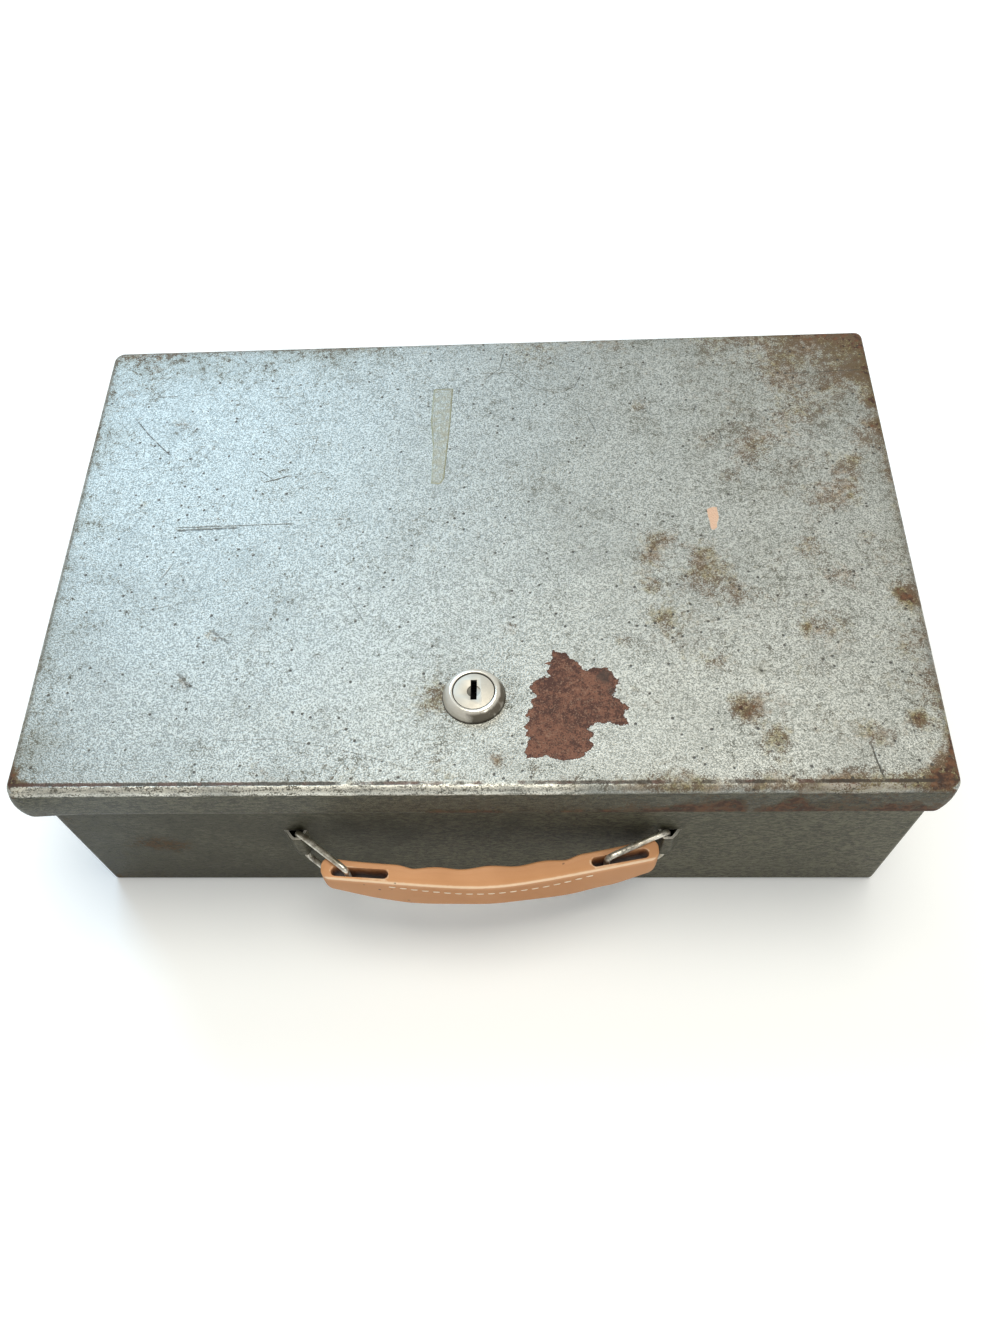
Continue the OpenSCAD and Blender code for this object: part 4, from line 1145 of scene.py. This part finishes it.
def build_housing():
    pr = [(7.42, 79.6), (7.42, 95.7), (7.5, 95.98), (7.7, 96.15), (8.0, 96.2), (8.3, 96.18), (8.6, 96.08),
          (8.95, 95.86), (9.35, 95.50), (9.8, 94.95), (10.2, 94.35), (10.55, 93.68), (10.85, 93.0),
          (11.08, 92.5), (11.2, 92.15), (11.2, 92.0), (9.5, 92.0), (9.5, 91.2)]
    z = 90.9
    while z > 80.4:
        pr += [(9.5, z), (8.95, z - 0.4), (9.5, z - 0.8)]
        z -= 0.8
    pr += [(9.2, 79.6)]
    v, f = lathe(pr, LOCK, 112)
    v = [(x, max(LOCK[1] - 8.1, min(LOCK[1] + 8.1, y)) if z < 91.9 else y, z) for x, y, z in v]
    ob = make("housing_skin", v, f, "lid", ("lock_housing",), 38)
    sector = [(12 * math.cos(math.radians(a)), 12 * math.sin(math.radians(a))) for a in range(152, 300, 7)] + [(0, 0)]
    me = bpy.data.meshes.new("tool")
    n = len(sector)
    me.from_pydata([((LOCK[0] + a) * MM, (LOCK[1] + b) * MM, c * MM) for c in (78, 80.6) for a, b in sector], [],
                   [tuple(range(n)), tuple(range(2 * n - 1, n - 1, -1))] + [(i, (i + 1) % n, n + (i + 1) % n, n + i) for i in range(n)])
    t = bpy.data.objects.new("tool", me)
    scene.collection.objects.link(t)
    bm = bmesh.new(); bm.from_mesh(me); bmesh.ops.recalc_face_normals(bm, faces=bm.faces); bm.to_mesh(me); bm.free()
    cut(ob, [t])
    soften(ob.data, 38)
    ob.data.materials.clear()
    ob.data.materials.append(M_CHROME)
    return ob


def refined(node, name, body, material, bevel, angle=40, segments=2, tools=()):
    """A CAD node's own shape with its edges broken, as a piece that stands for it."""
    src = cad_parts[node]
    me = src.data.copy()
    me.name = name
    me.materials.clear()
    bm = bmesh.new()
    bm.from_mesh(me)
    bmesh.ops.remove_doubles(bm, verts=bm.verts, dist=1e-6)
    bmesh.ops.dissolve_limit(bm, angle_limit=math.radians(0.5), verts=bm.verts, edges=bm.edges)
    bmesh.ops.recalc_face_normals(bm, faces=bm.faces)
    bm.to_mesh(me)
    bm.free()
    for a in list(me.attributes):
        if a.name in ("custom_normal",):
            me.attributes.remove(a)
    ob = place(name, me, body, (node,), 35)
    if tools:
        cut(ob, tools)
    if bevel:
        bevelled(ob, bevel, angle, segments)
    ob.data.materials.clear()
    ob.data.materials.append(material)
    return ob


def build_plug():
    return refined("lock_plug", "plug_skin", "plug", M_NICKEL, 0.12, 40, 2)


# ---------------------------------------------------------------- handle
HX, HY, HYAW = 3.3, -118.3, math.radians(3.5)
HU = np.array([math.cos(HYAW), math.sin(HYAW)])
HW = np.array([-math.sin(HYAW), math.cos(HYAW)])
GRIP_TOP, HALF = 50.6, 62.5
SLOT_TILT = math.radians(7.2)


def grip_in(u):
    a = abs(u)
    return (-0.6 + 0.00175 * u * u + float(step(28, 35, a))
            + 0.48 * math.cos(math.radians(18 * u)) * (1 - float(step(26, 33, a))))


def grip_out(u):
    return -9.1 + 0.155 * (math.sqrt(u * u + 225) - 15)


def grip_bottom(u):
    a = abs(u)
    return (GRIP_TOP - 18.8 - 1.6 * (1 - float(step(30, 42, a))) + 6 * float(step(44, 64, a))
            + 2.0 * float(step(38, 50, -u)))


def to_row(u, w):
    return HX + u * HU[0] + w * HW[0], HY + u * HU[1] + w * HW[1]


def build_grip():
    us = list(np.arange(-59, 59.01, 0.8))
    ends = [HALF - 3.5 + 3.5 * math.sin(math.pi / 2 * k / 9) for k in range(1, 10)]
    us = [-e for e in reversed(ends)] + us + ends
    verts, faces = [], []
    seg = 6
    per = None
    for u in us:
        e = max(0.0, abs(u) - (HALF - 3.5))
        pull = 3.5 - math.sqrt(max(0.0, 3.5 ** 2 - e ** 2))          # plan rounding of the ends
        wi, wo = grip_in(u) - pull, grip_out(u) + pull
        shrink = 0.9 * (1 - math.sqrt(max(0.0, 1 - (e / 3.5) ** 2)))  # and of their height
        zt, zb = GRIP_TOP - shrink, grip_bottom(u) + shrink
        r_it, r_ot, r_b = 1.1, 0.75, 1.6
        r_ob = 1.6 + 2.6 * (1 - float(step(8, 30, abs(u))))           # rounder below in the middle
        pts = []

        def arc(cw, cz, r, a0, a1):
            for k in range(seg + 1):
                a = math.radians(a0 + (a1 - a0) * k / seg)
                pts.append((cw + r * math.cos(a), cz + r * math.sin(a)))
        wi2, wo2 = wi, wo
        if wi2 - wo2 < 3.2:
            mid = (wi2 + wo2) / 2
            wi2, wo2 = mid + 1.6, mid - 1.6
        k_ = min(1.0, (wi2 - wo2) / 3.4)
        r_it, r_ot, r_b, r_ob = r_it * k_, r_ot * k_, r_b * k_, r_ob * k_
        arc(wi2 - r_it, zt - r_it, r_it, 0, 90)                       # inner top edge
        top_n = 8
        a_, b_ = wi2 - r_it, wo2 + r_ot
        for k in range(1, top_n):                                     # top face, a shade hollow behind its ridge
            w = a_ + (b_ - a_) * k / top_n
            sag = 0.28 * float(step(b_ + 0.4, b_ + 2.2, w)) * (1 - float(step(46, 60, abs(u))) * 0.3)
            pts.append((w, zt - sag * k_))
        arc(wo2 + r_ot, zt - r_ot, r_ot, 90, 180)                     # the ridge
        for k in range(1, 6):
            z = zt - r_ot + (zb + r_ob - zt + r_ot) * k / 6
            pts.append((wo2 - 0.25 * math.sin(math.pi * k / 6) * k_, z))
        arc(wo2 + r_ob, zb + r_ob, r_ob, 180, 270)
        pts.append(((wi2 - r_b + wo2 + r_ob) / 2, zb))
        arc(wi2 - r_b, zb + r_b, r_b, 270, 360)
        for k in range(1, 5):
            pts.append((wi2, zb + r_b + (zt - r_it - zb - r_b) * k / 5))
        per = len(pts)
        for w, z in pts:
            x, y = to_row(u, w)
            verts.append((x, y, z))
    n = len(us)
    for i in range(n - 1):
        for k in range(per):
            j = (k + 1) % per
            faces.append((i * per + k, i * per + j, (i + 1) * per + j, (i + 1) * per + k))
    faces.append(tuple(range(per)))
    faces.append(tuple((n - 1) * per + k for k in range(per)))
    ob = make("grip_skin", verts, faces, "handle", ("handle_grip",), 60)
    tools = []
    for s in (-1, 1):
        e, r = (21.5 - 3.8) / 2, 1.9
        ct, st = math.cos(SLOT_TILT), s * math.sin(SLOT_TILT)
        loop = []
        for mid, a0 in ((e, -90), (-e, 90)):
            for k in range(17):
                a = math.radians(a0 + 180 * k / 16)
                q, h = mid + r * math.cos(a), r * math.sin(a)
                loop.append((s * 48 + q * ct - h * st, -0.2 + q * st + h * ct))
        m = len(loop)
        me = bpy.data.meshes.new("tool")
        vs = []
        for z in (24.0, 60.0):
            for u, w in loop:
                x, y = to_row(u, w)
                vs.append((x * MM, y * MM, z * MM))
        me.from_pydata(vs, [], [tuple(range(m)), tuple(range(2 * m - 1, m - 1, -1))]
                       + [(i, (i + 1) % m, m + (i + 1) % m, m + i) for i in range(m)])
        bm = bmesh.new(); bm.from_mesh(me); bmesh.ops.recalc_face_normals(bm, faces=bm.faces); bm.to_mesh(me); bm.free()
        t = bpy.data.objects.new("tool", me)
        scene.collection.objects.link(t)
        tools.append(t)
    cut(ob, tools)
    b = ob.modifiers.new("edge", "BEVEL")
    b.width = 0.55 * MM
    b.segments = 3
    b.limit_method = "ANGLE"
    b.angle_limit = math.radians(55)
    apply_mods(ob)
    soften(ob.data, 60)
    ob.data.materials.clear()
    ob.data.materials.append(M_GRIP)
    p = coords(ob.data)
    rel = p[:, :2] - np.array([HX, HY])
    u, w, z = rel @ HU, rel @ HW, p[:, 2]
    su, sw = np.abs(u) - 48, w + 0.2
    along = su * math.cos(SLOT_TILT) + sw * math.sin(SLOT_TILT)
    across = sw * math.cos(SLOT_TILT) - su * math.sin(SLOT_TILT)
    dist = np.hypot(np.maximum(np.abs(along) - (21.5 - 3.8) / 2, 0), across) - 1.9
    inside = (dist < 0.25)
    # painted shade inside the slots and low on the grip, and darker round the slots' rims on top
    dirt = np.where(inside, step(50.2, 46.6, z) * 1.4, 0.0) + 0.25 * np.exp(-np.maximum(dist, 0) / 1.2) * (z > 50)
    dirt += 0.25 * step(40, 31, z)
    wo = np.array([grip_out(a) for a in u])
    # painted highlight mask along the ridge and the slots' front rims
    ridge = np.exp(-(((w - wo - 0.3) / 0.7) ** 2 + ((z - GRIP_TOP + 0.25) / 0.6) ** 2))
    ridge = np.maximum(ridge, 0.8 * np.exp(-((dist - 0.3) / 0.4) ** 2) * (z > 50.0) * (np.maximum(across, -0.7 * along) > 0))
    paint_floats(ob.data, dirt=dirt, ridge=ridge)
    return ob


def build_stitches():
    verts, faces = [], []
    for n in range(19):
        u = -36.2 + 4.04 * n
        w = grip_out(u) - 0.22
        du = 0.1
        slope = (grip_out(u + du) - grip_out(u - du)) / (2 * du)
        t = np.array([1.0, slope]); t /= np.hypot(*t)
        nrm = np.array([t[1], -t[0]])
        if nrm[1] > 0:
            nrm = -nrm
        z0 = GRIP_TOP - 3.0 - 2.4 * (1 - (u / 36.4) ** 2) - 1.0 * math.exp(-((u - 22) / 11) ** 2) + 0.08 * math.sin(u * 1.7)
        k = len(verts)
        rings, sides = 9, 10
        for i in range(rings):
            a = -1 + 2 * i / (rings - 1)
            s = max(0.12, (1 - abs(a) ** 3.2)) ** 0.5
            for j in range(sides):
                b = 2 * math.pi * j / sides
                off = t * (1.3 * a) + nrm * (0.24 * s * math.cos(b))
                x, y = to_row(u + off[0], w + off[1])
                verts.append((x, y, z0 + 0.27 * s * math.sin(b)))
        for i in range(rings - 1):
            for j in range(sides):
                q = (j + 1) % sides
                faces.append((k + i * sides + j, k + i * sides + q, k + (i + 1) * sides + q, k + (i + 1) * sides + j))
        faces.append(tuple(k + j for j in range(sides)))
        faces.append(tuple(k + (rings - 1) * sides + j for j in range(sides)))
    ob = make("grip_stitches", verts, faces, "handle", (), 60)
    ob.data.materials.append(M_STITCH)
    return ob


def build_link(side):
    L, zu, zl, r = 24.9, 52.3, 30.0, 2.2
    ang = math.radians(37.7 if side < 0 else 25.12)
    ux = np.array([math.cos(ang) * -side, -math.sin(ang)])
    o = np.array([side * 69.0, -105.9])

    def flat(u, z):
        q = o + ux * u
        return (q[0], q[1], z)
    gap = L * 0.42
    pts = [flat(u, zl) for u in np.arange(gap + 0.5, L - r, 0.7)]
    pts += [flat(L - r + r * math.sin(a), zl + r - r * math.cos(a)) for a in np.linspace(0, math.pi / 2, 7)]
    pts += [flat(L, z) for z in np.arange(zl + r + 0.7, zu - r, 0.7)]
    pts += [flat(L - r + r * math.cos(a), zu - r + r * math.sin(a)) for a in np.linspace(0, math.pi / 2, 7)]
    pts += [flat(u, zu + 0.10 * math.sin(math.pi * (L - u) / L)) for u in np.arange(L - r - 0.7, r, -0.7)]
    pts += [flat(r - r * math.sin(a), zu - r + r * math.cos(a)) for a in np.linspace(0, math.pi / 2, 7)]
    pts += [flat(0, z) for z in np.arange(zu - r - 0.7, zl + r, -0.7)]
    pts += [flat(r - r * math.cos(a), zl + r - r * math.sin(a)) for a in np.linspace(0, math.pi / 2, 7)]
    pts += [flat(u, zl) for u in np.arange(r + 0.7, gap - 0.1, 0.7)]
    name = "left_wire" if side < 0 else "right_wire"
    node = "left_link" if side < 0 else "right_link"
    body = "link_left" if side < 0 else "link_right"
    v, f = tube(pts, 1.18, 22, 0.035, 3.0 * side)
    ob = make(name, v, f, body, (node,), 60)
    ob.data.materials.append(M_WIRE)
    return ob


# ---------------------------------------------------------------- build
build_lid()
build_tray()
build_lances()
build_end(-1)
build_end(1)
build_housing()
build_plug()
build_grip()
build_stitches()
build_link(-1)
build_link(1)
refined("strike_plate", "strike_skin", "base", M_BODY, 0.25)
refined("lock_nut", "nut_skin", "lid", M_ZINC, 0.35)
refined("lock_cam", "cam_skin", "plug", M_ZINC, 0.2)
refined("cam_washer", "washer_skin", "plug", M_ZINC, 0.12)
refined("cam_screw", "screw_skin", "plug", M_ZINC, 0.15)
refined("stop_washer", "stop_skin", "plug", M_ZINC, 0.1)
for node, mat in (("hinge_base_leaf", M_HINGE), ("hinge_lid_leaf", M_HINGE), ("hinge_pin", M_PIN),
                  ("lock_wafers", M_BRASS), ("wafer_springs", M_PIN)):
    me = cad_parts[node].data
    if not me.materials:
        me.materials.append(mat)
    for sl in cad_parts[node].material_slots:
        sl.material = mat

# ---------------------------------------------------------------- stage and light
floor_me = bpy.data.meshes.new("floor")
floor_me.from_pydata([(-6, -6, 0), (6, -6, 0), (6, 6, 0), (-6, 6, 0)], [], [(0, 1, 2, 3)])
floor = bpy.data.objects.new("floor", floor_me)
scene.collection.objects.link(floor)
fs = Shader("floor", Roughness=0.9)
fs.set("Base Color", (0.90, 0.92, 0.94))
fs.set("Emission Color", (0.94, 0.98, 1.0))
fs.set("Emission Strength", 0.16)
floor_me.materials.append(fs.m)

world = bpy.data.worlds.new("studio")
scene.world = world
world.use_nodes = True
bg = world.node_tree.nodes["Background"]
bg.inputs[0].default_value = (1.0, 0.985, 0.93, 1)
bg.inputs[1].default_value = 0.36


def area(name, at, look, size, power, colour=(1, 1, 1)):
    d = bpy.data.lights.new(name, "AREA")
    d.shape = "RECTANGLE"
    d.size, d.size_y = size
    d.energy = power
    d.color = colour
    o = bpy.data.objects.new(name, d)
    scene.collection.objects.link(o)
    o.location = at
    o.rotation_euler = (Vector(look) - Vector(at)).to_track_quat("-Z", "Y").to_euler()
    return o


area("window", (-0.95, 1.75, 1.72), (0, 0, 0.08), (1.25, 1.1), 31.0, (0.51, 0.76, 1.0))
area("front", (1.02, -1.22, 1.10), (0, -0.1, 0.06), (0.42, 0.34), 2.7, (1.0, 0.975, 0.91))
area("overhead", (0.28, 0.15, 2.3), (0, 0, 0.08), (1.5, 1.3), 36.2, (1.0, 0.960, 0.850))
